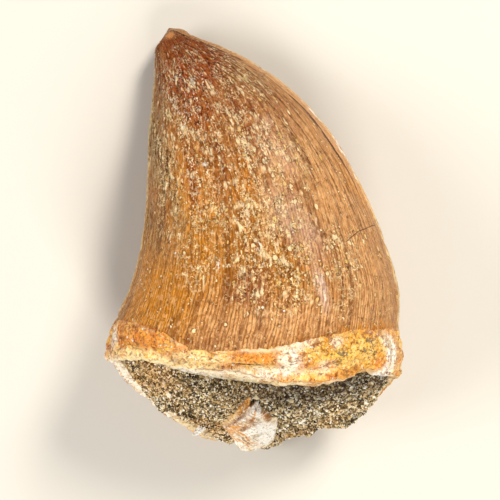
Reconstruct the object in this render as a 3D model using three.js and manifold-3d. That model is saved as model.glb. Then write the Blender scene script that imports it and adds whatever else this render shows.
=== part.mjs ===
// Fossil mosasaur tooth, lying on its back face: the hollow crown with its root band, the sandstone that
// fills the pulp cavity, and a chip of bone caught in that sandstone. Millimetres, +Z up. The tip points
// along +Y, and the origin is under the middle of the tooth, on the surface that it lies on.
import * as THREE from "three";
import { ImprovedNoise } from "three/addons/math/ImprovedNoise.js";
import { mergeVertices } from "three/addons/utils/BufferGeometryUtils.js";
import Module from "manifold-3d";

const wasm = await Module();
wasm.setup();

// Cross-sections, from the broken end to the tip. left and right are the cutting edges (x, y), at height
// edge; face and back are the highest and lowest points between them. sag bows the section towards the
// broken end at its middle, and lean tips it, so that its face side is nearer the tip than its back side.
const sections = [
  { left: [-12.55, -7.4], right: [10.9, -14.1], edge: 10.6, face: 17.3, back: 0.5, sag: 3.3, lean: 0.43 },
  { left: [-11.1, -5.0], right: [11.4, -10.7], edge: 10.4, face: 18.0, back: 0.05, sag: 3.9, lean: 0.38 },
  { left: [-9.3, -2.5], right: [12.2, -7.5], edge: 9.8, face: 17.7, back: -0.2, sag: 3.1, lean: 0.31 },
  { left: [-7.9, 0.4], right: [12.1, -3.6], edge: 8.8, face: 16.1, back: -0.25, sag: 2.4, lean: 0.28 },
  { left: [-6.8, 3.6], right: [11.5, 0.6], edge: 7.6, face: 14.3, back: -0.25, sag: 1.9, lean: 0.25 },
  { left: [-6.0, 6.9], right: [10.4, 5.2], edge: 6.3, face: 12.2, back: -0.1, sag: 1.4, lean: 0.23 },
  { left: [-5.2, 10.4], right: [8.5, 9.6], edge: 5.0, face: 9.7, back: 0.2, sag: 0.9, lean: 0.2 },
  { left: [-4.3, 13.4], right: [5.5, 13.6], edge: 3.9, face: 7.2, back: 0.5, sag: 0.5, lean: 0.18 },
  { left: [-3.7, 15.8], right: [2.5, 16.3], edge: 3.1, face: 5.4, back: 0.8, sag: 0.25, lean: 0.15 },
  { left: [-3.2, 17.5], right: [0.2, 17.9], edge: 2.5, face: 4.0, back: 1.0, sag: 0.1, lean: 0.1 },
  { left: [-2.5, 18.25], right: [-0.55, 18.7], edge: 2.1, face: 3.0, back: 1.2, sag: 0, lean: 0.05 },
  { left: [-1.7, 19.1], right: [-1.7, 19.1], edge: 2.0, face: 2.0, back: 2.0, sag: 0, lean: 0 },
];
const lastSection = sections.length - 1;
const enamelLine = 1; // the enamel ends at this section, and the root band lies below it

const bowPower = 0.55; // 0.5 makes an elliptical section, 1 a lens with sharp edges
const keel = 0.28; // how far each cutting edge stands out
const enamelStep = 0.12; // the enamel's thickness, a step down to the root band
const bandSwell = 0.16; // swelling of the root band below that step
const crests = [
  { across: -0.62, width: 0.2, height: 0.35 }, // low crests that run up the face, from -1 left to 1 right
  { across: 0.42, width: 0.26, height: 0.4 },
];
const undulation = 0.22; // broad, shallow hollows and rises all over the enamel
const bandLumps = [
  { at: 48, width: 20, height: 0.28 }, // swollen places on the root band, in degrees from the right edge
  { at: 112, width: 12, height: 0.12 },
  { at: 4, width: 9, height: 0.25 },
];
const enamelWaves = [
  { at: 113, width: 16, height: -0.28 }, // where the enamel line runs nearer the rim, in sections
  { at: 127, width: 9, height: 0.08 },
  { at: 62, width: 15, height: 0.14 },
  { at: 47, width: 9, height: 0.1 },
  { at: 5, width: 12, height: -0.05 },
];
const rimBevel = 0.6; // how far the wall's inner half stands out past its outer edge at the rim
const rimBreaks = [
  { at: 92, width: 62, height: -0.75 }, // where the broken rim falls back, or stands out furthest
  { at: 62, width: 14, height: 0.55 },
  { at: 38, width: 9, height: -0.45 },
  { at: 128, width: 16, height: -0.35 },
  { at: 183, width: 8, height: 0.3 },
  { at: 252, width: 7, height: 0.4 },
  { at: 300, width: 14, height: -0.4 },
  { at: 338, width: 16, height: 0.2 },
];

const wall = 1.05; // thickness of the crown's wall round the pulp cavity
const cavityTop = 4.6; // the section where the cavity closes
const clearance = 0.35; // gap between the pieces
const matrixRecess = 1.6; // how far the sandstone lies inside the rim, under the face
const matrixLap = 0.95; // how far it stands out past the rim at the back
const matrixKnobs = [
  { across: 0.76, up: -0.52, width: 0.17, height: 0.5 }, // from -1 left to 1 right, and -1 back to 1 face
  { across: 0.9, up: -0.25, width: 0.16, height: -0.2 },
  { across: 0.5, up: -0.7, width: 0.25, height: -0.6 },
  { across: -0.25, up: -0.95, width: 0.2, height: -0.55 },
  { across: 0.36, up: -0.82, width: 0.14, height: -0.2 },
  { across: 0.58, up: -0.5, width: 0.12, height: -0.3 },
  { across: 0.17, up: -0.9, width: 0.1, height: 0.6 },
  { across: -0.15, up: 0.2, width: 0.3, height: 0.5 },
  { across: 0.35, up: 0.45, width: 0.3, height: -0.9 },
];

const chipCentre = [-1.6, -14.9, 6.5];
const chipRadii = [3.2, 4.6, 5.2];
const chipFacets = [
  { towards: [-0.45, -0.72, 0.53], reach: 2.15 }, // the chip's flat sides, as directions and distances
  { towards: [0.2, -0.84, 0.5], reach: 2.05 },
  { towards: [-0.85, 0.0, 0.52], reach: 2.5 },
  { towards: [0.85, -0.1, 0.5], reach: 2.2 },
  { towards: [0.98, -0.15, -0.1], reach: 1.6 },
  { towards: [-0.97, -0.1, -0.2], reach: 2.5 },
  { towards: [-0.2, -0.6, -0.77], reach: 4.4 },
  { towards: [0.05, -0.97, -0.2], reach: 3.5 },
  { towards: [0.1, 1, -0.1], reach: 1.95 },
  { towards: [-0.465, 0.885, 0.15], reach: 1.55 },
  { towards: [0.7, 0.7, 0.1], reach: 1.85 },
  { towards: [0.435, -0.9, -0.1], reach: 3.25 },
];

const sides = 58; // points round each ring
const { smoothstep, lerp } = THREE.MathUtils;
const noise = new ImprovedNoise();
const zAxis = new THREE.Vector3(0, 0, 1);

// Smooth curves through the sections: the two cutting edges in space, and two pairs of other values.
const through = (pick) => new THREE.CatmullRomCurve3(sections.map((row) => new THREE.Vector3(...pick(row))));
const leftCurve = through((row) => [...row.left, row.edge]);
const rightCurve = through((row) => [...row.right, row.edge]);
const heightCurve = through((row) => [row.face, row.back, 0]);
const tiltCurve = through((row) => [row.sag, row.lean, 0]);

function sectionAt(s) {
  const t = s / lastSection;
  const left = leftCurve.getPoint(t);
  const right = rightCurve.getPoint(t);
  const { x: face, y: back } = heightCurve.getPoint(t);
  const { x: sag, y: lean } = tiltCurve.getPoint(t);
  const span = right.clone().sub(left);
  const half = span.length() / 2;
  const along = half > 0.01 ? span.normalize() : new THREE.Vector3(1, 0, 0);
  const baseward = new THREE.Vector3(along.y, -along.x, 0);
  return { middle: left.add(right).multiplyScalar(0.5), half, along, baseward, face, back, sag, lean };
}

// A bump centred at one angle round the tooth, in degrees, that fades out over its width.
function bump({ at, width, height }, angle) {
  const off = THREE.MathUtils.euclideanModulo(THREE.MathUtils.radToDeg(angle) - at + 180, 360) - 180;
  return height * Math.exp(-((off / width) ** 2));
}

const bumps = (list, angle) => list.reduce((sum, place) => sum + bump(place, angle), 0);
const enamelAt = (angle) => enamelLine + bumps(enamelWaves, angle);

// How far the skin stands off the plain section: crests on the enamel, then the step down to the band.
function relief(s, angle) {
  const across = Math.cos(angle);
  const upward = Math.sin(angle);
  const faceward = Math.max(upward, 0);
  const enamelEnd = enamelAt(angle);
  if (s < enamelEnd) {
    const down = (enamelEnd - s) / enamelEnd;
    const swell = bandSwell * (1 - 0.8 * faceward) + 0.8 * bumps(bandLumps, angle);
    const step = enamelStep * (1 - 0.6 * faceward) * smoothstep(down, 0, 0.08);
    return swell * Math.sin(Math.PI * Math.min(down * 1.15, 1)) - step;
  }
  const fade = smoothstep(s, 0.5, 2.5) * (1 - smoothstep(s, 6, 10));
  const waves = undulation * Math.abs(upward) * noise.noise(2.4 * across, 2.4 * upward, 0.55 * s);
  const rise = (sum, c) => sum + c.height * Math.exp(-(((across - c.across) / c.width) ** 2));
  return fade * (crests.reduce(rise, 0) * faceward + waves);
}

// A point on the crown's skin at section s, and angle round it: 0 is the right edge and 90 degrees the
// face. share draws the section in about its middle, and inset lays the point that far under the skin.
function skinPoint(s, angle, share, inset = 0) {
  const c = sectionAt(s);
  const across = Math.cos(angle);
  const bow = Math.max(1 - across * across, 0) ** bowPower;
  const full = (Math.sin(angle) > 0 ? c.face : c.back) - c.middle.z;
  const grow = share * (1 + relief(s, angle) / Math.max(c.half, 4));
  const height = full * bow * grow * (1 - inset / Math.abs(full));
  const edge = keel * (smoothstep(Math.abs(across), 0.992, 1) - 1) * smoothstep(c.half, 0.5, 5);
  const reach = across * grow * (c.half + edge - inset);
  const shift = c.sag * (1 - (across * share) ** 2) - c.lean * height;
  const point = c.middle.clone().addScaledVector(c.along, reach).addScaledVector(c.baseward, shift);
  point.z += height;
  return point;
}

const rim = sectionAt(0);
const outward = rim.baseward.clone().setZ(rim.lean).normalize(); // straight out of the broken end

function rimBreak(angle) {
  return bumps(rimBreaks, angle) + 0.35 * noise.noise(3 * Math.cos(angle) + 7, 3 * Math.sin(angle), 2.5);
}

// Builds a closed skin from a list of rings; the first and the last of them are single points.
function closedSkin(rings, pointAt) {
  const points = [pointAt(rings[0], 0)];
  for (const ring of rings.slice(1, -1)) {
    for (let i = 0; i < sides; i++) points.push(pointAt(ring, (2 * Math.PI * i) / sides));
  }
  points.push(pointAt(rings.at(-1), 0));
  const index = [];
  const last = points.length - 1;
  for (let i = 0; i < sides; i++) {
    const next = (i + 1) % sides;
    index.push(0, 1 + next, 1 + i);
    for (let row = 0; row < rings.length - 3; row++) {
      const a = 1 + row * sides;
      const b = a + sides;
      index.push(a + i, b + next, b + i, a + i, a + next, b + next);
    }
    index.push(last, last - sides + i, last - sides + next);
  }
  const geometry = new THREE.BufferGeometry().setFromPoints(points);
  geometry.setIndex(index);
  return geometry;
}

function solidFrom(geometry) {
  return new wasm.Manifold(
    new wasm.Mesh({
      numProp: 3,
      vertProperties: new Float32Array(geometry.attributes.position.array),
      triVerts: new Uint32Array(geometry.index.array),
    }),
  );
}

// The same skin, moved out by a distance along its normals, or in if the distance is negative.
function moved(geometry, distance) {
  const result = geometry.clone();
  result.computeVertexNormals();
  const { position, normal } = result.attributes;
  for (let i = 0; i < position.count; i++) {
    const x = position.getX(i) + normal.getX(i) * distance;
    const y = position.getY(i) + normal.getY(i) * distance;
    position.setXYZ(i, x, y, position.getZ(i) + normal.getZ(i) * distance);
  }
  return result;
}

// The outside of the crown, from the tip down to the rim, and then across the broken end. The rings near
// the enamel line follow its waves.
const crownStations = [11, 10.9, 10.75, 10.5, 10.2, 9.8, 9.4, 8.9, 8.4, 7.9, 7.4, 6.9, 6.4, 5.9, 5.4];
crownStations.push(4.9, 4.4, 3.9, 3.4, 2.9, 2.4, 1.95, 1.55, 1.25, 1.05, 0.99, 0.9, 0.7, 0.5, 0.3, 0.12, 0);
const crownRings = crownStations.map((s) => ({ s, share: 1, out: 0, break: 1 - smoothstep(s, 0, 0.6) }));
for (const [share, out] of [[0.97, 0.55], [0.93, 0.95], [0.88, 1], [0.8, 0.7], [0.4, 0.3], [0, 0]]) {
  crownRings.push({ s: 0, share, out: out * rimBevel, break: Math.min(1, share * 1.1) });
}
const crownSkin = closedSkin(crownRings, (ring, angle) => {
  const follow = lerp(enamelAt(angle) / enamelLine, 1, smoothstep(ring.s, 1, 3));
  const point = skinPoint(ring.s * follow, angle, ring.share);
  const bevel = ring.out * lerp(0.3, 1, smoothstep(Math.sin(angle), -0.3, 0.3));
  return point.addScaledVector(outward, bevel + ring.break * rimBreak(angle));
});

// The pulp cavity, from its domed top to well outside the rim.
const cavityStations = [1, 0.97, 0.88, 0.76, 0.62, 0.48, 0.34, 0.2, 0.08, 0];
const cavityRings = cavityStations.map((t) => ({ s: t * cavityTop, share: Math.sqrt(1 - t * t), out: 0 }));
cavityRings.push({ s: 0, share: 1, out: 3 }, { s: 0, share: 0, out: 3 });
const cavitySkin = closedSkin(cavityRings, (ring, angle) =>
  skinPoint(ring.s, angle, ring.share, wall).addScaledVector(outward, ring.out),
);

// The sandstone. Its broken surface lies inside the rim under the face and laps over the rim at the back,
// except at the lower left, where the rim is bare.
const bareRim = (across, up) =>
  Math.max(smoothstep(-across, 0.45, 0.65), smoothstep(-across, 0.2, 0.4) * smoothstep(-up, 0.25, 0.5));
function matrixOut(across, up) {
  const bare = bareRim(across, up);
  const level = lerp(matrixLap, -matrixRecess, smoothstep(up, -0.5, 0.9));
  const knobs = matrixKnobs.reduce((sum, knob) => {
    const off = ((across - knob.across) ** 2 + (up - knob.up) ** 2) / knob.width ** 2;
    return sum + knob.height * Math.exp(-off);
  }, 0);
  const lumps = 0.5 * noise.noise(across * 4, up * 4, 5.5) + 0.25 * noise.noise(across * 10, up * 10, 1.5);
  const share = Math.hypot(across, up);
  const fall = lerp(0.55 * smoothstep(share, 0.84, 0.96), 0.75 * smoothstep(share, 0.45, 0.85), bare);
  return level + knobs + lumps - fall - 1.5 * smoothstep(share, 0.965, 0.985);
}
const ringCentre = { across: -0.1, up: -0.3 }; // the rings close up behind the chip
const matrixRings = [{ s: 4.9, share: 0, exposed: 0 }];
for (const s of [4.8, 4.2, 3.2, 2.2, 1.2, 0.5]) {
  matrixRings.push({ s, share: 0.95, exposed: 0 });
}
for (const share of [0.985, 0.965, 0.94, 0.89, 0.83, 0.76, 0.68, 0.59, 0.5, 0.41, 0.31, 0.2, 0]) {
  matrixRings.push({ s: 0, share, exposed: 1 });
}
const matrixSkin = closedSkin(matrixRings, (ring, angle) => {
  if (!ring.exposed) return skinPoint(ring.s, angle, ring.share);
  const across = ring.share * Math.cos(angle) + (1 - ring.share) * ringCentre.across;
  const level = ring.share * Math.sin(angle) + (1 - ring.share) * ringCentre.up;
  const drawnIn = Math.hypot(across, level) * (1 - 0.12 * bareRim(across, level));
  return skinPoint(0, Math.atan2(level, across), drawnIn).addScaledVector(outward, matrixOut(across, level));
});

// The chip: a ball cut flat on each of its sides. grow makes it larger all over, for the hole it lies in.
function plainBox(width, depth, height) {
  const box = new THREE.BoxGeometry(width, depth, height);
  box.deleteAttribute("normal");
  box.deleteAttribute("uv");
  return mergeVertices(box);
}
function chipSolid(grow) {
  const ball = new THREE.IcosahedronGeometry(1, 3).scale(...chipRadii.map((radius) => radius + grow));
  ball.deleteAttribute("normal");
  ball.deleteAttribute("uv");
  let solid = solidFrom(mergeVertices(ball, 0.001).translate(...chipCentre));
  for (const { towards, reach } of chipFacets) {
    const turn = new THREE.Quaternion().setFromUnitVectors(zAxis, new THREE.Vector3(...towards).normalize());
    const box = plainBox(20, 20, 10).translate(0, 0, 5 + reach + grow).applyQuaternion(turn);
    solid = solid.subtract(solidFrom(box.translate(...chipCentre)));
  }
  return solid;
}

const floorCut = solidFrom(plainBox(60, 60, 4).translate(0, 0, -2));
const crown = solidFrom(crownSkin).subtract(solidFrom(cavitySkin)).subtract(floorCut);
const keepout = solidFrom(moved(crownSkin, clearance)).subtract(solidFrom(moved(cavitySkin, -clearance)));
const chip = chipSolid(0).subtract(keepout).subtract(floorCut);
const matrix = solidFrom(matrixSkin).subtract(keepout).subtract(chipSolid(clearance));

const group = new THREE.Group();
function addPiece(name, solid, color, roughness) {
  const mesh = solid.getMesh();
  const geometry = new THREE.BufferGeometry();
  geometry.setAttribute("position", new THREE.BufferAttribute(mesh.vertProperties, 3));
  geometry.setIndex(new THREE.BufferAttribute(mesh.triVerts, 1));
  geometry.computeVertexNormals();
  const piece = new THREE.Mesh(geometry, new THREE.MeshStandardMaterial({ color, roughness, metalness: 0 }));
  piece.name = name;
  group.add(piece);
}
addPiece("crown", crown, 0xb87a45, 0.38);
addPiece("matrix", matrix, 0x93805d, 0.9);
addPiece("bone_chip", chip, 0xdccfb8, 0.55);

export default group;
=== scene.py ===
# Fossil mosasaur tooth, lying on its back face: the crown with its root band, the sandstone in its pulp
# cavity, and a chip of bone in that sandstone. Shapes are worked out in millimetres and set in metres.
import math

import bpy
import numpy as np
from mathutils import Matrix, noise


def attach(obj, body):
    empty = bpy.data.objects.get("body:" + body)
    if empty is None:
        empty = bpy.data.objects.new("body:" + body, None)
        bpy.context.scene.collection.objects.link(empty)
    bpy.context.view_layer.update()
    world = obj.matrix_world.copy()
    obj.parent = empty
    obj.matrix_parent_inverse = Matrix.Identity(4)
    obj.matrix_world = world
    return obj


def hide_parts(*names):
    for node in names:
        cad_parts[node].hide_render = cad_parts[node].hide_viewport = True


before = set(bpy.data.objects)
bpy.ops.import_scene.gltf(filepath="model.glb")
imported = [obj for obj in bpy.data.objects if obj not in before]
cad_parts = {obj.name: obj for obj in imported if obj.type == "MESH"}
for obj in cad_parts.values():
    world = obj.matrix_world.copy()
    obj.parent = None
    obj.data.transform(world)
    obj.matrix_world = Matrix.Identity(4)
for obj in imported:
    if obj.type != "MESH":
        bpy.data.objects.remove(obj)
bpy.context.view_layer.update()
mm = 0.001
print("frame loaded")


# small helpers for numbers and meshes
def smooth(value, low, high):
    t = np.clip((value - low) / (high - low), 0, 1)
    return t * t * (3 - 2 * t)


def mixed(a, b, t):
    return a + (b - a) * t


def roughness(points, scale, seed=0.0, octaves=1):
    # noise between about -1 and 1, at places in mm
    spots = (np.asarray(points).reshape(-1, 3) * scale + seed).tolist()
    if octaves == 1:
        values = [noise.noise(spot) for spot in spots]
    else:
        values = [noise.fractal(spot, 0.9, 2.1, octaves) for spot in spots]
    return np.array(values).reshape(np.shape(points)[:-1])


def activate(piece):
    bpy.ops.object.select_all(action="DESELECT")
    piece.select_set(True)
    bpy.context.view_layer.objects.active = piece


def applyModifier(piece, kind, **settings):
    activate(piece)
    modifier = piece.modifiers.new(kind.title(), kind)
    for name, value in settings.items():
        setattr(modifier, name, value)
    bpy.ops.object.modifier_apply(modifier=modifier.name)


def readVectors(items, field):
    flat = np.empty(len(items) * 3, np.float32)
    items.foreach_get(field, flat)
    return flat.reshape(-1, 3).astype(float)


def getPoints(piece):
    return readVectors(piece.data.vertices, "co") / mm


def setPoints(piece, points):
    piece.data.vertices.foreach_set("co", (np.asarray(points).reshape(-1, 3) * mm).astype(np.float32).ravel())
    piece.data.update()


def keepMask(piece, name, values, kind="FLOAT", field="value"):
    kept = piece.data.attributes.new(name, kind, "POINT")
    kept.data.foreach_set(field, np.asarray(values, np.float32).ravel())


def turnSteps(count):
    # angles once round, with the first one again at the end
    return 2 * np.pi * (np.arange(count + 1) % count) / count


def gridNormals(points):
    # normals of a grid of points that closes on itself from its last column to its first
    ring = points[:, :-1]
    around = np.roll(ring, -1, 1) - np.roll(ring, 1, 1)
    along = np.gradient(ring, axis=0)
    normals = np.cross(around, along)
    normals /= np.maximum(np.linalg.norm(normals, axis=2, keepdims=True), 1e-9)
    return np.concatenate([normals, normals[:, :1]], 1)


def wrapGrid(name, rows, columns):
    # a flat grid, one row of faces for each step down the tooth, which its maker then wraps round
    bpy.ops.object.select_all(action="DESELECT")
    bpy.ops.mesh.primitive_grid_add(x_subdivisions=columns, y_subdivisions=rows - 1, size=1)
    piece = bpy.context.object
    piece.name = piece.data.name = name
    return piece


def closeGrid(piece):
    # joins the seam and the two ends
    activate(piece)
    bpy.ops.object.mode_set(mode="EDIT")
    bpy.ops.mesh.select_all(action="SELECT")
    bpy.ops.mesh.remove_doubles(threshold=1e-8)
    bpy.ops.mesh.normals_make_consistent(inside=False)
    bpy.ops.object.mode_set(mode="OBJECT")


# form of the crown, in mm
crownForm = {
    # from the broken end to the tip: left and right cutting edges (x, y) at height edge, the highest and
    # lowest points between them, how far the section bows towards the broken end, and how far it leans
    "sections": [
        ((-12.55, -7.4), (10.9, -14.1), 10.6, 17.3, 0.5, 3.3, 0.43),
        ((-11.1, -5.0), (11.4, -10.7), 10.4, 18.0, 0.05, 3.9, 0.38),
        ((-9.3, -2.5), (12.2, -7.5), 9.8, 17.7, -0.2, 3.1, 0.31),
        ((-7.9, 0.4), (12.1, -3.6), 8.8, 16.1, -0.25, 2.4, 0.28),
        ((-6.8, 3.6), (11.5, 0.6), 7.6, 14.3, -0.25, 1.9, 0.25),
        ((-6.0, 6.9), (10.4, 5.2), 6.3, 12.2, -0.1, 1.4, 0.23),
        ((-5.2, 10.4), (8.5, 9.6), 5.0, 9.7, 0.2, 0.9, 0.2),
        ((-4.3, 13.4), (5.5, 13.6), 3.9, 7.2, 0.5, 0.5, 0.18),
        ((-3.7, 15.8), (2.5, 16.3), 3.1, 5.4, 0.8, 0.25, 0.15),
        ((-3.2, 17.5), (0.2, 17.9), 2.5, 4.0, 1.0, 0.1, 0.1),
        ((-2.5, 18.25), (-0.55, 18.7), 2.1, 3.0, 1.2, 0.0, 0.05),
        ((-1.7, 19.1), (-1.7, 19.1), 2.0, 2.0, 2.0, 0.0, 0.0),
    ],
    "bowPower": 0.55,
    "keel": 0.28,  # how far the cutting edges stand out, and where across the tooth they start
    "keelFrom": 0.992,
    "enamelLine": 1.0,  # the section where the enamel ends
    "enamelStep": 0.12,
    "bandSwell": 0.16,
    "flatterFace": {"step": 0.6, "swell": 0.8},  # how much less the face has of them than the back
    "undulation": 0.22,
    "crests": [(-0.62, 0.2, 0.35), (0.42, 0.26, 0.4)],  # place across, width, height
    "bandLumps": [(48, 20, 0.28), (112, 12, 0.12), (4, 9, 0.25)],  # degrees from the right edge, width, height
    "enamelWaves": [(113, 16, -0.28), (127, 9, 0.08), (62, 15, 0.14), (47, 9, 0.1), (5, 12, -0.05)],
    "ragged": [(0.05, 1.1, 3.1), (0.03, 3.3)],  # of the enamel line: height, scale, seed
    "rimBevel": 0.6,
    "backBevel": 0.3,  # share of it at the back
    "bevelCurve": ([0, 0.08, 0.25, 0.6, 1], [0, 0.5, 0.85, 1.0, 0.9]),  # way across the wall, share of the bevel
    "rimRough": 0.35,
    "rimBreaks": [
        (92, 62, -0.75), (62, 14, 0.55), (38, 9, -0.45), (128, 16, -0.35),
        (183, 8, 0.3), (252, 7, 0.4), (300, 14, -0.4), (338, 16, 0.2),
    ],
    "wall": 1.05,  # its thickness
    "cavityTop": 4.6,
    "cavityTurn": 0.15,  # share of the cavity's rows in which the broken edge runs out
    "columns": 1200,
    "enamelRows": 112,
    "bandRows": 36,
    "lipRows": 18,
    "wallRows": 9,
    "turnedRows": 4,  # rows past the outer edge that the band still covers
    "edgeWearAndRimLight": 0.62,  # how pale the cutting edges are: wear, and a painted rim highlight
    "keptShare": 0.46,  # share of the faces left after thinning
    # heights of the fine relief in mm
    "enamel": {
        "wrinkles": 0.04, "grooves": -0.05, "crust": 0.07, "pits": -0.06, "chips": -0.09, "crystals": 0.04,
        "skin": 0.02,
    },
    "enamelEdge": 0.05,
    "wallEdge": -0.12,
    "band": {"lumps": 0.1, "coarse": 0.085, "gritty": 0.05, "pores": -0.1, "cracks": -0.06},
    "lip": {"lumps": 0.14, "coarse": 0.14, "gritty": 0.06},
}


def smoothThrough(points, steps=60):
    # a centripetal curve through the points, at even steps from each one to the next
    points = np.array(points, float)
    ends = np.vstack([2 * points[0] - points[1], points, 2 * points[-1] - points[-2]])
    t = np.arange(steps)[:, None] / steps
    stretches = []
    for a, b, c, d in zip(ends, ends[1:], ends[2:], ends[3:]):
        before, here, after = (np.linalg.norm(q - p) ** 0.5 for p, q in ((a, b), (b, c), (c, d)))
        start = ((b - a) / before - (c - a) / (before + here) + (c - b) / here) * here
        end = ((c - b) / here - (d - b) / (here + after) + (d - c) / after) * here
        bent = (3 * (c - b) - 2 * start - end) * t**2 + (2 * (b - c) + start + end) * t**3
        stretches.append(b + start * t + bent)
    return np.vstack([*stretches, points[-1:]])


sections = crownForm["sections"]
lastSection = len(sections) - 1
leftCurve = smoothThrough([(*row[0], row[2]) for row in sections])
rightCurve = smoothThrough([(*row[1], row[2]) for row in sections])
heightCurve = smoothThrough([(row[3], row[4]) for row in sections])
tiltCurve = smoothThrough([(row[5], row[6]) for row in sections])
stations = np.linspace(0, lastSection, len(leftCurve))


def readCurve(curve, s):
    return np.stack([np.interp(s, stations, column) for column in curve.T], -1)


def sectionAt(s):
    left, right = readCurve(leftCurve, s), readCurve(rightCurve, s)
    face, back = np.moveaxis(readCurve(heightCurve, s), -1, 0)
    sag, lean = np.moveaxis(readCurve(tiltCurve, s), -1, 0)
    span = right - left
    half = np.linalg.norm(span, axis=-1) / 2
    along = np.where(half[..., None] > 0.01, span / np.maximum(2 * half[..., None], 1e-6), (1.0, 0.0, 0.0))
    baseward = np.stack([along[..., 1], -along[..., 0], np.zeros_like(half)], -1)
    return {
        "middle": (left + right) / 2, "half": half, "along": along, "baseward": baseward,
        "face": face, "back": back, "sag": sag, "lean": lean,
    }


def bumps(places, angle):
    total = np.zeros_like(angle)
    for at, width, height in places:
        off = (np.degrees(angle) - at + 180) % 360 - 180
        total += height * np.exp(-((off / width) ** 2))
    return total


def circleSpots(angle, radius, third, shift=(0, 0)):
    return np.stack([radius * np.cos(angle) + shift[0], radius * np.sin(angle) + shift[1], third + 0 * angle], -1)


def enamelAt(angle):
    return crownForm["enamelLine"] + bumps(crownForm["enamelWaves"], angle)


def relief(s, angle):
    # how far the skin stands off the plain section: the band's swelling, or the enamel's crests
    enamelEnd = enamelAt(angle)
    down = (enamelEnd - s) / enamelEnd
    across, upward = np.cos(angle), np.sin(angle)
    less = {name: 1 - share * np.maximum(upward, 0) for name, share in crownForm["flatterFace"].items()}
    swell = crownForm["bandSwell"] * less["swell"] + 0.8 * bumps(crownForm["bandLumps"], angle)
    step = crownForm["enamelStep"] * less["step"] * smooth(down, 0, 0.05)
    band = swell * np.sin(np.pi * np.clip(down * 1.15, 0, 1)) - step
    waves = roughness(np.stack([2.4 * across, 2.4 * upward, 0.55 * s], -1), 1)
    waves *= crownForm["undulation"] * np.abs(upward)
    for place, width, height in crownForm["crests"]:
        waves = waves + height * np.exp(-(((across - place) / width) ** 2)) * np.maximum(upward, 0)
    fade = smooth(s, 0.5, 2.5) * (1 - smooth(s, 6, 10))
    return np.where(s < enamelEnd, band, fade * waves)


def skinPoint(s, angle, share=1.0, inset=0.0):
    # a point on the skin; share draws the section in about its middle, inset lays the point under the skin
    s, angle, share, inset = np.broadcast_arrays(*(np.asarray(v, float) for v in (s, angle, share, inset)))
    c = sectionAt(s)
    across = np.cos(angle)
    bow = np.maximum(1 - across**2, 0) ** crownForm["bowPower"]
    full = np.where(np.sin(angle) > 0, c["face"], c["back"]) - c["middle"][..., 2]
    grow = share * (1 + relief(s, angle) / np.maximum(c["half"], 4))
    height = full * bow * grow * (1 - inset / np.maximum(np.abs(full), 0.01))
    edge = crownForm["keel"] * (smooth(np.abs(across), crownForm["keelFrom"], 1) - 1) * smooth(c["half"], 0.5, 5)
    reach = across * grow * (c["half"] + edge - inset)
    shift = c["sag"] * (1 - (across * share) ** 2) - c["lean"] * height
    point = c["middle"] + c["along"] * reach[..., None] + c["baseward"] * shift[..., None]
    point[..., 2] += height
    return point


rim = sectionAt(np.array(0.0))
outward = np.array([*rim["baseward"][:2], rim["lean"]])
outward /= np.linalg.norm(outward)  # straight out of the broken end


def rimBreak(angle):
    uneven = roughness(circleSpots(angle, 3, 2.5, (7, 0)), 1)
    return bumps(crownForm["rimBreaks"], angle) + crownForm["rimRough"] * uneven


# the crown: its rows run from the tip down the outside, across the broken wall, and up the cavity
def evenStations(high, low, count):
    # sections between high and low that lie at even distances along the tooth
    s = np.linspace(high, low, 400)
    steps = np.linalg.norm(np.diff(sectionAt(s)["middle"], axis=0), axis=1)
    lengths = np.concatenate([[0], np.cumsum(steps)])
    return np.interp(np.linspace(0, lengths[-1], count), lengths, s)


def ellipse(points, centre, radii, turn=0.0, soft=0.6):
    # 1 inside an ellipse on the face, seen from above, and 0 outside it
    x, y = points[..., 0] - centre[0], points[..., 1] - centre[1]
    c, s = math.cos(math.radians(turn)), math.sin(math.radians(turn))
    far = np.hypot((x * c + y * s) / radii[0], (y * c - x * s) / radii[1])
    return 1 - smooth(far, 1 - soft, 1 + soft)


def placed(points, places):
    # how strongly each point lies in the placed spots: their centre, radii, turn in degrees, strength
    total = np.zeros(points.shape[:-1])
    for centre, radii, turn, strength in places:
        total = np.maximum(total, strength * ellipse(points, centre, radii, turn))
    return total


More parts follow.
